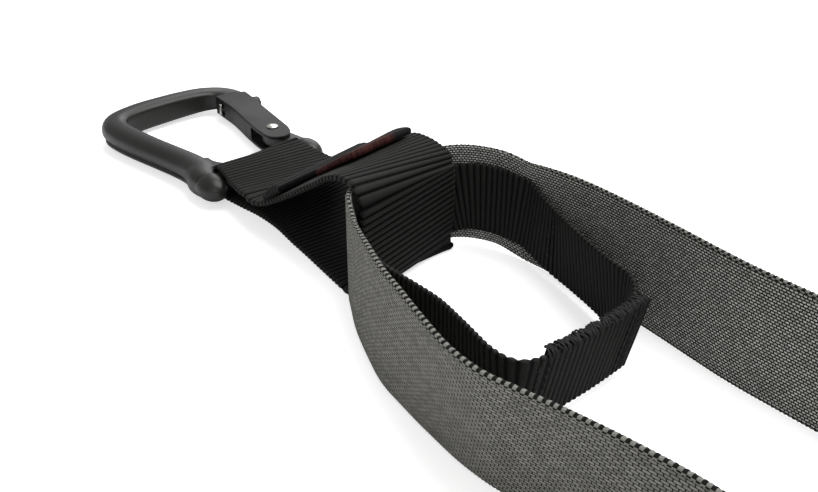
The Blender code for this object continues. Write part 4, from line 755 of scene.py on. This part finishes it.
fineRib = {"pitch": 0.0021, "perRib": 9, "rib": 0.00044, "edge": 0.00024, "edgePitch": 0.0021, "columns": 10}
flatWeave = {"pitch": 0.0013, "perRib": 5, "rib": 0.0, "edge": 0.00016, "edgePitch": 0.0013, "columns": 10}


def arcXZ(centre, radius, start, stop, steps):
    # arc about a level centre, from start to stop in degrees
    angle = np.radians(np.linspace(start, stop, steps))
    return np.stack([radius * np.cos(angle), angle * 0, radius * np.sin(angle)], axis=1) + centre


def loopEdges():
    # both selvedges: round the bar, over the strap, down inside it and back underneath
    edges = []
    half = loopSize["width"] / barSize["spacing"] * loopSize["atBar"]
    floorZ = loopSize["thick"] / 2 + clear / 10
    for share, over, under in ((-half, loopFront, underFront), (half, loopBack, underBack)):
        axis = barMiddle + barLine * share * barSize["spacing"] / 2
        arc = arcXZ(axis, barSize["radius"] + clear + loopSize["thick"] / 2, 270, 95, 9)
        low = under * (headSpan, headSpan, strapTop) + (0, 0, floorZ)
        edges.append(throughPoints(np.vstack([arc, over * (headSpan, headSpan, strapTop), low]), strandSteps, True))
    return edges


def betweenEdges(front, back, thick):
    # rows of a band from its two selvedges: midway between them and as wide as they are apart
    return frameRows((front + back) / 2, unit(back - front), np.linalg.norm(back - front, axis=1), thick)


wovenBand("equalizerLoop", betweenEdges(*loopEdges(), loopSize["thick"] - shy), "blackRibbed", "webbing",
          "equalizer_loop", coarseRib, closed=True)


def overStrand(first, last, insets, lifts):
    # selvedges of a piece on the loop's upper strand, between two stations, lifted off it along its normal
    at = np.linspace(first, last, len(lifts)) * strandSteps
    lines = []
    for rows in (loopFront, loopBack):
        fine = throughPoints(rows * (headSpan, headSpan, strapTop), strandSteps)
        lines.append(np.stack([np.interp(at, np.arange(len(fine)), fine[:, k]) for k in range(3)], axis=1))
    across = unit(lines[1] - lines[0])
    lines = [lines[0] + across * insets[0], lines[1] - across * insets[1]]
    way = tangents((lines[0] + lines[1]) / 2)
    face = unit(np.stack([-way[:, 2], way[:, 1] * 0, way[:, 0]], axis=1))
    return [line + face * lifts[:, None] for line in lines]


strandFace = loopSize["thick"] / 2 + clear

# Seam fold: the loop's cut end as a hem, thick = full * (0.35 + 0.65 sin(pi * (0.1 + 0.8 share)))
foldLook = {"thick": 0.0038, "first": 3.34, "last": 4.2, "steps": 24}
foldThick = foldLook["thick"] * (0.35 + 0.65 * np.sin(math.pi * (0.1 + 0.8 * np.linspace(0, 1, foldLook["steps"]))))
foldEdges = overStrand(foldLook["first"], foldLook["last"], (clear, clear), strandFace + foldThick / 2)
wovenBand("seamFold", betweenEdges(*foldEdges, foldThick), "blackNarrow", "webbing", "seam_fold",
          dict(fineRib, rib=0.00046, columns=24))

# Label: a tab that lies on the loop and rises towards its free end
labelLook = {"thick": 0.0024, "rise": 0.0010, "first": 4.5, "last": 6.5, "insets": (0.0140, 0.0035), "steps": 40}
labelLift = strandFace + labelLook["thick"] / 2 + labelLook["rise"] * np.linspace(0, 1, labelLook["steps"])
labelEdges = overStrand(labelLook["first"], labelLook["last"], labelLook["insets"], labelLift)
labelWeave = dict(fineRib, rib=0.00004, edge=0.00006, pitch=0.0010, edgePitch=0.0010, columns=20)
wovenBand("labelTab", betweenEdges(*labelEdges, labelLook["thick"]), "redLabel", "webbing", "label_tab", labelWeave)
print("stage: equaliser loop made")

# Grey strap: a U that stands on edge, its plan in head spans from the far leg round to the near one
strapRoute = np.array([
    (2.62, 0.395), (2.32, 0.392), (2.05, 0.394), (1.90, 0.407), (1.75, 0.425), (1.60, 0.440),
    (1.43, 0.452), (1.26, 0.450), (1.11, 0.441), (1.02, 0.428), (0.95, 0.402), (0.895, 0.36),
    (0.862, 0.30), (0.852, 0.22), (0.862, 0.12), (0.885, 0.02), (0.915, -0.08), (0.95, -0.155),
    (0.99, -0.195), (1.06, -0.235), (1.19, -0.298), (1.40, -0.378), (1.53, -0.414), (1.66, -0.450),
    (1.80, -0.482), (1.92, -0.488), (2.03, -0.466), (2.14, -0.441), (2.30, -0.415), (2.45, -0.397),
    (2.62, -0.395)])


def smoothStep(share):
    # 3 share^2 - 2 share^3, held at 0 and 1 outside
    share = np.clip(share, 0, 1)
    return share * share * (3 - 2 * share)


def leftOf(plan):
    # the level direction to the left of a path
    way = tangents(plan)
    return np.stack([-way[:, 1], way[:, 0], way[:, 0] * 0], axis=1)


def strapRows():
    # upright along its plan; inside the loop it is cupped and lifted, and the front leg leans out
    plan = throughPoints(strapRoute * headSpan, 24)
    inward = leftOf(plan)
    x = plan[:, 0] / headSpan
    width = strapSize["width"] * (strapSize["cupped"] + (1 - strapSize["cupped"]) * smoothStep((x - 1.0) / 0.35))
    low = strapLow + (clear - strapLow) * smoothStep((x - 1.0) / 0.16)
    lean = strapSize["lean"] * smoothStep((x - 1.35) / 0.6) * (1 - smoothStep((x - 2.1) / 0.4)) * (plan[:, 1] < 0)
    height = low + width / 2 * np.cos(lean) + strapSize["thick"] / 2 * np.sin(lean)
    centres = np.hstack([plan, height[:, None]]) + inward * (width / 2 * np.sin(lean))[:, None]
    across = upward * np.cos(lean)[:, None] - inward * np.sin(lean)[:, None]
    return frameRows(centres, across, width, strapSize["thick"])


wovenBand("mainStrap", strapRows(), "greyStrap", "webbing", "main_strap", flatWeave)

# Locking loop: free at its far wall, sewn along the strap's inner face, its back run raised near the equaliser
lockSize = {"width": 0.0254, "thick": 0.0015, "lift": 0.0012, "sewn": (1.16, 1.14), "raise": 0.0035,
            "raiseFrom": (1.36, 0.20), "raiseOver": (0.03, 0.02)}
# Each row: plan in head spans, and the sine of the webbing's tilt
lockBack = np.array([
    (1.828, -0.195, -0.22), (1.831, -0.05, -0.22), (1.821, 0.09, -0.22), (1.798, 0.172, -0.16),
    (1.745, 0.240, -0.02), (1.66, 0.283, 0.14), (1.55, 0.320, 0.17), (1.45, 0.350, 0.15),
    (1.36, 0.378, 0.10), (1.26, 0.400, 0.05)])
lockFront = np.array([
    (1.25, -0.266, 0.0), (1.34, -0.267, 0.0), (1.43, -0.264, 0.0), (1.52, -0.266, 0.0),
    (1.63, -0.283, -0.02), (1.70, -0.294, -0.05), (1.765, -0.300, -0.10), (1.823, -0.288, -0.17),
    (1.848, -0.25, -0.22), (1.852, -0.15, -0.22), (1.847, 0.0, -0.22), (1.833, 0.14, -0.22),
    (1.827, 0.185, -0.22)])


def lockRows():
    # plan and tilt through the free points, and through the strap's own stations where it is sewn on
    plan = throughPoints(strapRoute * headSpan, 3)
    line = plan + leftOf(plan)[:, :2] * (strapSize["thick"] / 2 + clear + lockSize["thick"] / 2)
    apex = int(np.argmin(plan[:, 0]))
    limit = np.where(np.arange(len(line)) < apex, lockSize["sewn"][0], lockSize["sewn"][1]) * headSpan
    sewn = line[line[:, 0] < limit]
    scale = (headSpan, headSpan, 1)
    rows = throughPoints(np.vstack([lockBack * scale, np.hstack([sewn, sewn[:, :1] * 0]), lockFront * scale]), 16)
    plan, tilt = rows[:, :2], np.arcsin(rows[:, 2])
    nearX, nearY = ((plan - np.array(lockSize["raiseFrom"]) * headSpan) * (-1, 1) / lockSize["raiseOver"]).T
    raised = lockSize["raise"] * smoothStep(nearX) * smoothStep(nearY)
    half = lockSize["width"] / 2 * np.cos(tilt) + lockSize["thick"] / 2 * np.abs(np.sin(tilt))
    height = strapLow + lockSize["lift"] + raised + half
    across = upward * np.cos(tilt)[:, None] + leftOf(plan) * np.sin(tilt)[:, None]
    return frameRows(np.hstack([plan, height[:, None]]), across, lockSize["width"], lockSize["thick"])


lockingLoop = wovenBand("lockingLoop", lockRows(), "blackNarrow", "webbing", "locking_loop", fineRib)
print("stage: straps at the head made")

# Stowed length, buckle and handle of each side
rollSize = {"core": 0.0120, "pitch": 0.0052, "turns": 5, "ahead": 0.0400, "legSpread": 0.0395}
buckleSize = {"length": 0.0560, "bar": 0.0018, "ahead": 0.0960}
ringSize = {"wire": 0.0035, "length": 0.0340, "wide": 0.0405, "narrow": 0.0275, "ahead": 0.0400}
gripSize = {"length": 0.1180, "radius": 0.0170, "core": 0.0146, "bore": 0.0133, "cap": 0.0055, "capRadius": 0.0180,
            "crown": 0.035, "cut": 0.0006, "cutPitch": 0.0066, "cutWidth": 0.0007}
handleSize = {"drop": 0.1060, "tab": 0.0250, "cradleDrop": 0.0720, "cradleSpread": 0.1500}
camSize = {"ahead": 0.0240, "above": 0.0051, "bevel": 0.0004, "pin": 0.0016, "pinPast": 0.0022, "gap": 0.0070,
           "dome": ((0.0008, 0.00070), (0.0018, 0.00062), (0.0023, 0.00045), (0.0026, 0.00020), (0.0026, 0.0))}
rollRadius = rollSize["core"] + rollSize["pitch"] * rollSize["turns"]
rollX = legEnd + rollSize["ahead"]
rollY = rollSize["legSpread"] + rollRadius
laneY = rollY + rollRadius
ringZ = 3 * clear + strapSize["thick"] + ringSize["wire"]
topZ = ringZ + ringSize["wire"] + clear + strapSize["thick"] / 2
lowZ = ringZ - ringSize["wire"] - clear - strapSize["thick"] / 2
buckleX = rollX + buckleSize["ahead"]
ringX = buckleX + buckleSize["length"] + ringSize["ahead"]
gripX = ringX + ringSize["length"] + handleSize["drop"]
gripZ = gripSize["capRadius"] + 2 * clear
# Each row: share of the drop, share of the grip's half length, quarter turns of the webbing
handlePath = np.array([
    (0.10, 0.00, 0.00), (0.24, 0.015, 0.00), (0.36, 0.10, 0.00), (0.52, 0.40, 0.22), (0.70, 0.81, 0.64),
    (0.79, 0.98, 0.88), (0.85, 1.08, 1.00), (0.90, 1.14, 1.00), (0.945, 1.165, 1.00), (0.985, 1.13, 1.00),
    (1.00, 1.06, 1.00)])
# Each row: share of the cradle's drop, share of its half spread
cradlePath = np.array([
    (-0.20, 0.915), (-0.08, 0.955), (0.02, 0.968), (0.25, 0.985), (0.50, 0.92), (0.74, 0.74), (0.90, 0.46),
    (0.98, 0.20), (1.00, 0.00)])


def toLane(line, side):
    # the same line mirrored to its side and moved to that side's lane
    line[:, 1] = line[:, 1] * side + side * laneY
    return line


def narrowRows(line, across):
    # rows of the handles' narrow webbing
    return frameRows(line, across, narrowSize["width"], narrowSize["thick"] - shy)


def rollRows(side):
    # a double spiral: radius = core + pitch * turns along both arms, joined by an S across the core
    turns = np.linspace(rollSize["turns"], 0, rollSize["turns"] * 44 + 1)
    radius = rollSize["core"] + rollSize["pitch"] * turns
    arm = np.stack([radius * np.cos(-math.tau * turns), radius * np.sin(-math.tau * turns)], axis=1)
    bend = np.linspace(0, math.pi, 23)[1:-1]
    core = rollSize["core"] / 2
    first = np.stack([core + core * np.cos(bend), core * np.sin(bend)], axis=1)
    line = np.vstack([arm, first, [[0.0, 0.0]], -first[::-1], -arm[::-1]]) @ np.array([[0.0, -1.0], [1.0, 0.0]])
    lead = [(legEnd + clear, rollSize["legSpread"]), (legEnd + rollSize["ahead"] * 0.5, rollSize["legSpread"])]
    tail = [(rollX + rollSize["ahead"] * 0.25, laneY)]
    plan = np.vstack([lead, line + (rollX, rollY), tail]) * (1, side)
    centres = np.insert(plan, 2, clear + strapSize["width"] / 2, axis=1)
    return frameRows(centres, upward, strapSize["width"], strapSize["thick"])


def tailRows(side):
    # a quarter twist, flat through the buckle, round the ring and back round the buckle's fixed bar
    start = rollX + rollSize["ahead"] * 0.25 + clear
    thick = strapSize["thick"]
    first = (start, 0, clear + strapSize["width"] / 2)
    start, flatAt = start + 2 * thick, buckleX - 2 * thick
    share = np.linspace(0, 1, 19)
    ease = smoothStep(share)
    lean = math.radians(90) * (1 - ease)
    rise = strapSize["width"] / 2 * np.sin(lean) + thick / 2 * np.cos(lean)
    height = clear + rise + (topZ - clear - thick / 2) * ease
    twist = np.stack([start + (flatAt - start) * share, share * 0, height], axis=1)
    barX = buckleX + buckleSize["length"] - buckleSize["bar"]
    barHigh, sewnZ = lowZ + thick / 2 + clear + buckleSize["bar"], lowZ + thick + clear
    flat = np.vstack([
        [(buckleX + buckleSize["length"] * part, 0, topZ) for part in (0.1, 0.5, 1.0)],
        arcXZ((ringX, 0, ringZ), ringSize["wire"] + clear + thick / 2, 90, -90, 11),
        [(ringX - ringSize["ahead"] * 0.5, 0, lowZ)],
        arcXZ((barX, 0, barHigh), buckleSize["bar"] + clear + thick / 2, 270, 75, 9),
        [(barX + 4 * thick, 0, sewnZ + thick / 4), (barX + 6 * thick, 0, sewnZ)],
        [(ringX - ringSize["ahead"] * 0.3, 0, sewnZ)]])
    leans = np.concatenate([[math.radians(90)], lean, np.zeros(len(flat))])
    across = np.stack([leans * 0, np.cos(leans), np.sin(leans) * side], axis=1)
    line = toLane(np.vstack([first, twist, flat]), side)
    return throughPoints(frameRows(line, across, strapSize["width"], thick - shy), 4)


def tabRows(side):
    # two layers round the ring's narrow bar, which hold the handle webbing between them
    barX, layer = ringX + ringSize["length"], 1.5 * narrowSize["thick"] + 2 * clear
    far, mid = barX + handleSize["tab"], barX + handleSize["tab"] * 0.42
    line = np.vstack([[(far, 0, ringZ + layer), (mid, 0, ringZ + layer)],
                      arcXZ((barX, 0, ringZ), ringSize["wire"] + clear + narrowSize["thick"] / 2, 75, 285, 11),
                      [(mid, 0, ringZ - layer), (far, 0, ringZ - layer)]])
    return throughPoints(narrowRows(toLane(line, side), (0, 1.0, 0)), 8)


def handleRows(side):
    # from the tab out to the grip with a quarter twist, through the grip and back
    startX, halfGrip = ringX + ringSize["length"], gripSize["length"] / 2
    level = smoothStep((handlePath[:, 0] - 0.3) / 0.5)
    half = throughPoints(np.stack([startX + handlePath[:, 0] * handleSize["drop"], handlePath[:, 1] * halfGrip,
                                   ringZ + (gripZ - ringZ) * level, handlePath[:, 2]], axis=1), 4)
    stack = narrowSize["thick"] / 2 + clear
    fade = (1 - smoothStep(((half[:, 0] - half[0, 0]) / handleSize["drop"] - 0.34) / 0.3))[:, None]
    first = half[:, :3] + upward * fade * stack
    second = half[::-1, :3] * (1, -1, 1) - upward * fade[::-1] * stack
    line = np.vstack([first, [(gripX, part * halfGrip, gripZ) for part in (0.8, 0.3, -0.3, -0.8)], second])
    turn = np.radians(90) * np.concatenate([half[:, 3], [1.0] * 4, 2 - half[::-1, 3]])
    across = unit(np.cross(upward, tangents(line))) * np.cos(turn)[:, None] - upward * np.sin(turn)[:, None]
    return throughPoints(narrowRows(toLane(line, side), across * (1, side, 1)), 5)


def cradleRows(side):
    # a foot loop that sags from the grip's corners to the surface
    sag = smoothStep(cradlePath[:, 0]) * (gripZ - narrowSize["width"] / 2 - 2 * clear)
    half = throughPoints(np.stack([gripX + cradlePath[:, 0] * handleSize["cradleDrop"],
                                   cradlePath[:, 1] * handleSize["cradleSpread"] / 2, gripZ - sag], axis=1), 8)
    return narrowRows(toLane(np.vstack([half, half[-2::-1] * (1, -1, 1)]), side), upward)


def ringPath(side):
    # straight bars between four rounded corners; the strap's side is the wide one
    corner = ringSize["wire"] * 1.3
    wide, narrow = (ringSize[end] / 2 + ringSize["wire"] - corner for end in ("wide", "narrow"))
    near, far = corner, ringSize["length"] - corner
    points = []
    for x, y, way in ((near, -wide, -135), (far, -narrow, -45), (far, narrow, 45), (near, wide, 135)):
        turn = np.radians(way + (np.arange(9) - 4) * 11.25)
        arc = np.stack([np.cos(turn), np.sin(turn), turn * 0], axis=1) * corner
        points.append(arc + (ringX + x, side * laneY + y, ringZ))
    return evenRows(np.vstack(points), 0.0015, True)[0]


def gripCoverProfile():
    # radius = full size * (1 - crown * (2 along / length)^2), with a shallow ring cut at each pitch
    half, bore = gripSize["length"] / 2 - gripSize["cap"] - clear, gripSize["core"] + clear
    along, pitch = np.linspace(-1, 1, 161), gripSize["cutPitch"]
    fromCut = np.mod(along * half + pitch / 2, pitch) - pitch / 2
    cut = gripSize["cut"] * np.exp(-(fromCut / gripSize["cutWidth"]) ** 2)
    radius = gripSize["radius"] * (1 - gripSize["crown"] * along ** 2) - cut
    return np.vstack([np.stack([radius, along * half], axis=1), [(bore, half), (bore, -half)]])


def gripCoreProfile():
    # the wall of a plain tube, up its outside and down its bore
    half = np.linspace(-0.5, 0.5, 7) * gripSize["length"]
    return [(gripSize["core"], t) for t in half] + [(gripSize["bore"], t) for t in half[::-1]]


def gripCapProfile():
    # a ring whose outer corners are quarter circles
    lip, bore, half = gripSize["cap"] / 4, gripSize["core"] + clear, gripSize["cap"] / 2
    inner, quarter = gripSize["capRadius"] - lip, np.linspace(0, math.pi / 2, 6)
    rim = [(inner + lip * math.sin(a), lip - half - lip * math.cos(a)) for a in quarter]
    rim += [(inner + lip * math.cos(a), half - lip + lip * math.sin(a)) for a in quarter]
    return [(bore, -half)] + rim + [(bore, half)]


flatRoll = dict(flatWeave, perRib=1, edge=0.0, columns=5)
camX, camZ = buckleX + camSize["ahead"], topZ + strapSize["thick"] / 2 + clear + camSize["above"]
camPinHalf = strapSize["width"] / 2 + 4 * clear + camSize["pinPast"]
camPinProfile = pinProfile(camSize["pin"], camPinHalf, camSize["dome"])
camCoil = {"radius": 0.0023, "turns": 4, "wire": 0.00035}
springLength = camSize["gap"] - 2 * clear - 2.4 * camCoil["wire"]
crossways = (0, 1, 0)
for side, word in ((1, "left"), (-1, "right")):
    caps, last, handle, grip = word.capitalize(), "_" + word, "handle_" + word, "grip_" + word
    wovenBand("rolledStrap" + caps, rollRows(side), "greyStrap", "webbing", "strap_roll" + last, flatRoll)
    wovenBand("strapTail" + caps, tailRows(side), "greyStrap", "webbing", "strap_tail" + last,
              dict(flatWeave, perRib=3))
    dressedCopy("buckle_frame" + last, "plated", "webbing", camSize["bevel"])
    dressedCopy("buckle_cam" + last, "plated", "cam" + last, camSize["bevel"])
    camPlace = np.array((camX, side * laneY, camZ))
    turnedPiece("camPin" + caps, camPinProfile, camPlace, crossways, 32, "bright", "webbing", "cam_pin" + last)
    helix = coilPath(camPlace - (0, springLength / 2, 0), crossways, camCoil, springLength)
    tubePiece("camSpring" + caps, helix, camCoil["wire"], 8, crossways, "wire", "webbing", "cam_spring" + last)
    tubePiece("handleRing" + caps, ringPath(side), ringSize["wire"] * 0.985, 24, upward, "plated", "ring" + last,
              "handle_ring" + last, closed=True)
    wovenBand("ringTab" + caps, tabRows(side), "blackNarrow", handle, "ring_tab" + last, fineRib)
    wovenBand("handleWebbing" + caps, handleRows(side), "blackNarrow", handle, "handle_webbing" + last,
              dict(fineRib, perRib=4))
    wovenBand("footCradle" + caps, cradleRows(side), "blackNarrow", handle, "foot_cradle" + last, fineRib)
    gripPlace = np.array((gripX, side * laneY, gripZ))
    turnedPiece("gripCore" + caps, gripCoreProfile(), gripPlace, crossways, 64, "plastic", grip, "grip_core" + last,
                ring=True)
    turnedPiece("gripCover" + caps, gripCoverProfile(), gripPlace, crossways, 72, "rubber", grip,
                "grip_cover" + last, ring=True)
    for end, way in (("inner", -1), ("outer", 1)):
        capPlace = gripPlace + (0, way * side * (gripSize["length"] - gripSize["cap"]) / 2, 0)
        turnedPiece("gripCap" + end.capitalize() + caps, gripCapProfile(), capPlace, crossways, 64, "plastic",
                    grip, "grip_cap_" + end + last, ring=True)
print("stage: stowed lengths and handles made")

# Stitching: places are measured back from the locking loop's end, or along it, with x from -1 to 1 across it
sewing = {"pitch": 0.0026, "radius": 0.00028, "rise": 0.00022, "gap": 0.08, "ends": (0.004, 0.007, 0.040, 0.043),
          "side": (0.0905, 0.0925)}
lockLength = lockingLoop["length"]
endRuns = [(lockLength - d, -0.85, lockLength - d, 0.85) for d in sewing["ends"]]
seams("lockEndStitches", lockingLoop, endRuns, 1, sewing)
topThread = {"first": 0.040, "last": 0.0012, "step": 0.00062, "seed": 7, "spread": (0.75, 1.25), "lean": 0.0011,
             "reach": 0.0016, "back": 0.0009, "rise": 0.0008, "sink": 0.0002, "radius": 0.00027}


def overcast(name, band, thread):
    # Thread loops over the band's upper edge: at angle a from -100 to 100 degrees each point is the edge
    # + face * (reach * spread * sin(a) - back) + across * (rise * spread * cos(a) - sink), and it leans along
    # the band by lean * sin(a). Spread and lean are drawn for each loop.
    numbers = np.random.default_rng(thread["seed"])
    at = np.arange(band["length"] - thread["first"], band["length"] - thread["last"], thread["step"])
    row = np.clip(np.searchsorted(band["s"], at), 0, len(band["s"]) - 2)
    spread = numbers.uniform(*thread["spread"], (len(row), 1, 1))
    wave = np.radians(np.linspace(-100, 100, 9))[None, :, None]
    edge = (band["centre"][row] + band["across"][row] * band["half"][row][:, None])[:, None]
    face, across = band["face"][row][:, None], band["across"][row][:, None]
    along = unit(band["centre"][row + 1] - band["centre"][row])[:, None]
    lean = numbers.uniform(-thread["lean"], thread["lean"], (len(row), 1, 1)) * np.sin(wave)
    reach = thread["reach"] * spread * np.sin(wave) - thread["back"]
    rise = thread["rise"] * spread * np.cos(wave) - thread["sink"]
    middle = edge + face * reach + across * rise + along * lean
    way = unit(np.gradient(middle, axis=1))
    spoke = unit(np.cross(way, along + 0 * way))
    threadPiece(name, middle, spoke, np.cross(way, spoke), thread["radius"])


overcast("lockTopStitches", lockingLoop, topThread)
seams("lockSideStitches", lockingLoop, [(d, -0.9, d, 0.9) for d in sewing["side"]], -1, sewing)
print("stage: stitching made")

# Floor and light: the object is lit softly from above and the surface is white
floorLook = {"colour": (0.93, 0.93, 0.93), "glow": 0.62, "size": (3.0, 3.0, -0.0003)}
floorMaterial, floorTree, floorShader = newMaterial("paleFloor", {
    "Base Color": floorLook["colour"], "Roughness": 0.9, "Specular IOR Level": 0.1, "Emission Color": (1, 1, 1)})
seen = addNode(floorTree, "ShaderNodeLightPath").outputs["Is Camera Ray"]
floorTree.links.new(calc(floorTree, "MULTIPLY", seen, floorLook["glow"]), floorShader.inputs["Emission Strength"])
floorMesh = bpy.data.meshes.new("floor")
floorCorners = np.array([(-1, -1, 1), (1, -1, 1), (1, 1, 1), (-1, 1, 1)]) * floorLook["size"]
floorMesh.from_pydata(floorCorners.tolist(), [], [(0, 1, 2, 3)])
floorMesh.materials.append(floorMaterial)
floor = bpy.data.objects.new("floor", floorMesh)
scene.collection.objects.link(floor)

# Each lamp's name, place, size and power; all look at one point
lamps = (("overhead", (0.0, 0.55, 1.5), 1.3, 24.0), ("front", (0.9, -1.1, 0.9), 1.2, 5.0),
         ("back", (-1.1, 0.9, 0.8), 1.0, 6.0))
lampAim = np.array((-0.2, 0.0, 0.0))
for name, place, size, power in lamps:
    lamp = bpy.data.lights.new(name, "AREA")
    lamp.size, lamp.energy = size, power
    stand = bpy.data.objects.new(name, lamp)
    stand.location = place
    aim = lampAim - place
    stand.rotation_euler = (math.acos(-aim[2] / np.linalg.norm(aim)), 0, math.atan2(-aim[0], aim[1]))
    scene.collection.objects.link(stand)

# The sky is white to the camera, even for the light, and faint in reflections
skyLook = {"level": 0.34, "shine": 0.1}
world = bpy.data.worlds.new("studio")
world.use_nodes = True
scene.world = world
sky = world.node_tree
background = sky.nodes["Background"]
paths = addNode(sky, "ShaderNodeLightPath").outputs
shine = calc(sky, "MULTIPLY", paths["Is Glossy Ray"], skyLook["shine"])
white = calc(sky, "MAXIMUM", calc(sky, "MAXIMUM", paths["Is Camera Ray"], paths["Is Transmission Ray"]), shine)
feed(sky, background.inputs["Color"], (1, 1, 1))
feed(sky, background.inputs["Strength"], between(sky, white, skyLook["level"], 1.0))
scene.view_settings.view_transform = "Standard"
print("stage: floor and light made")
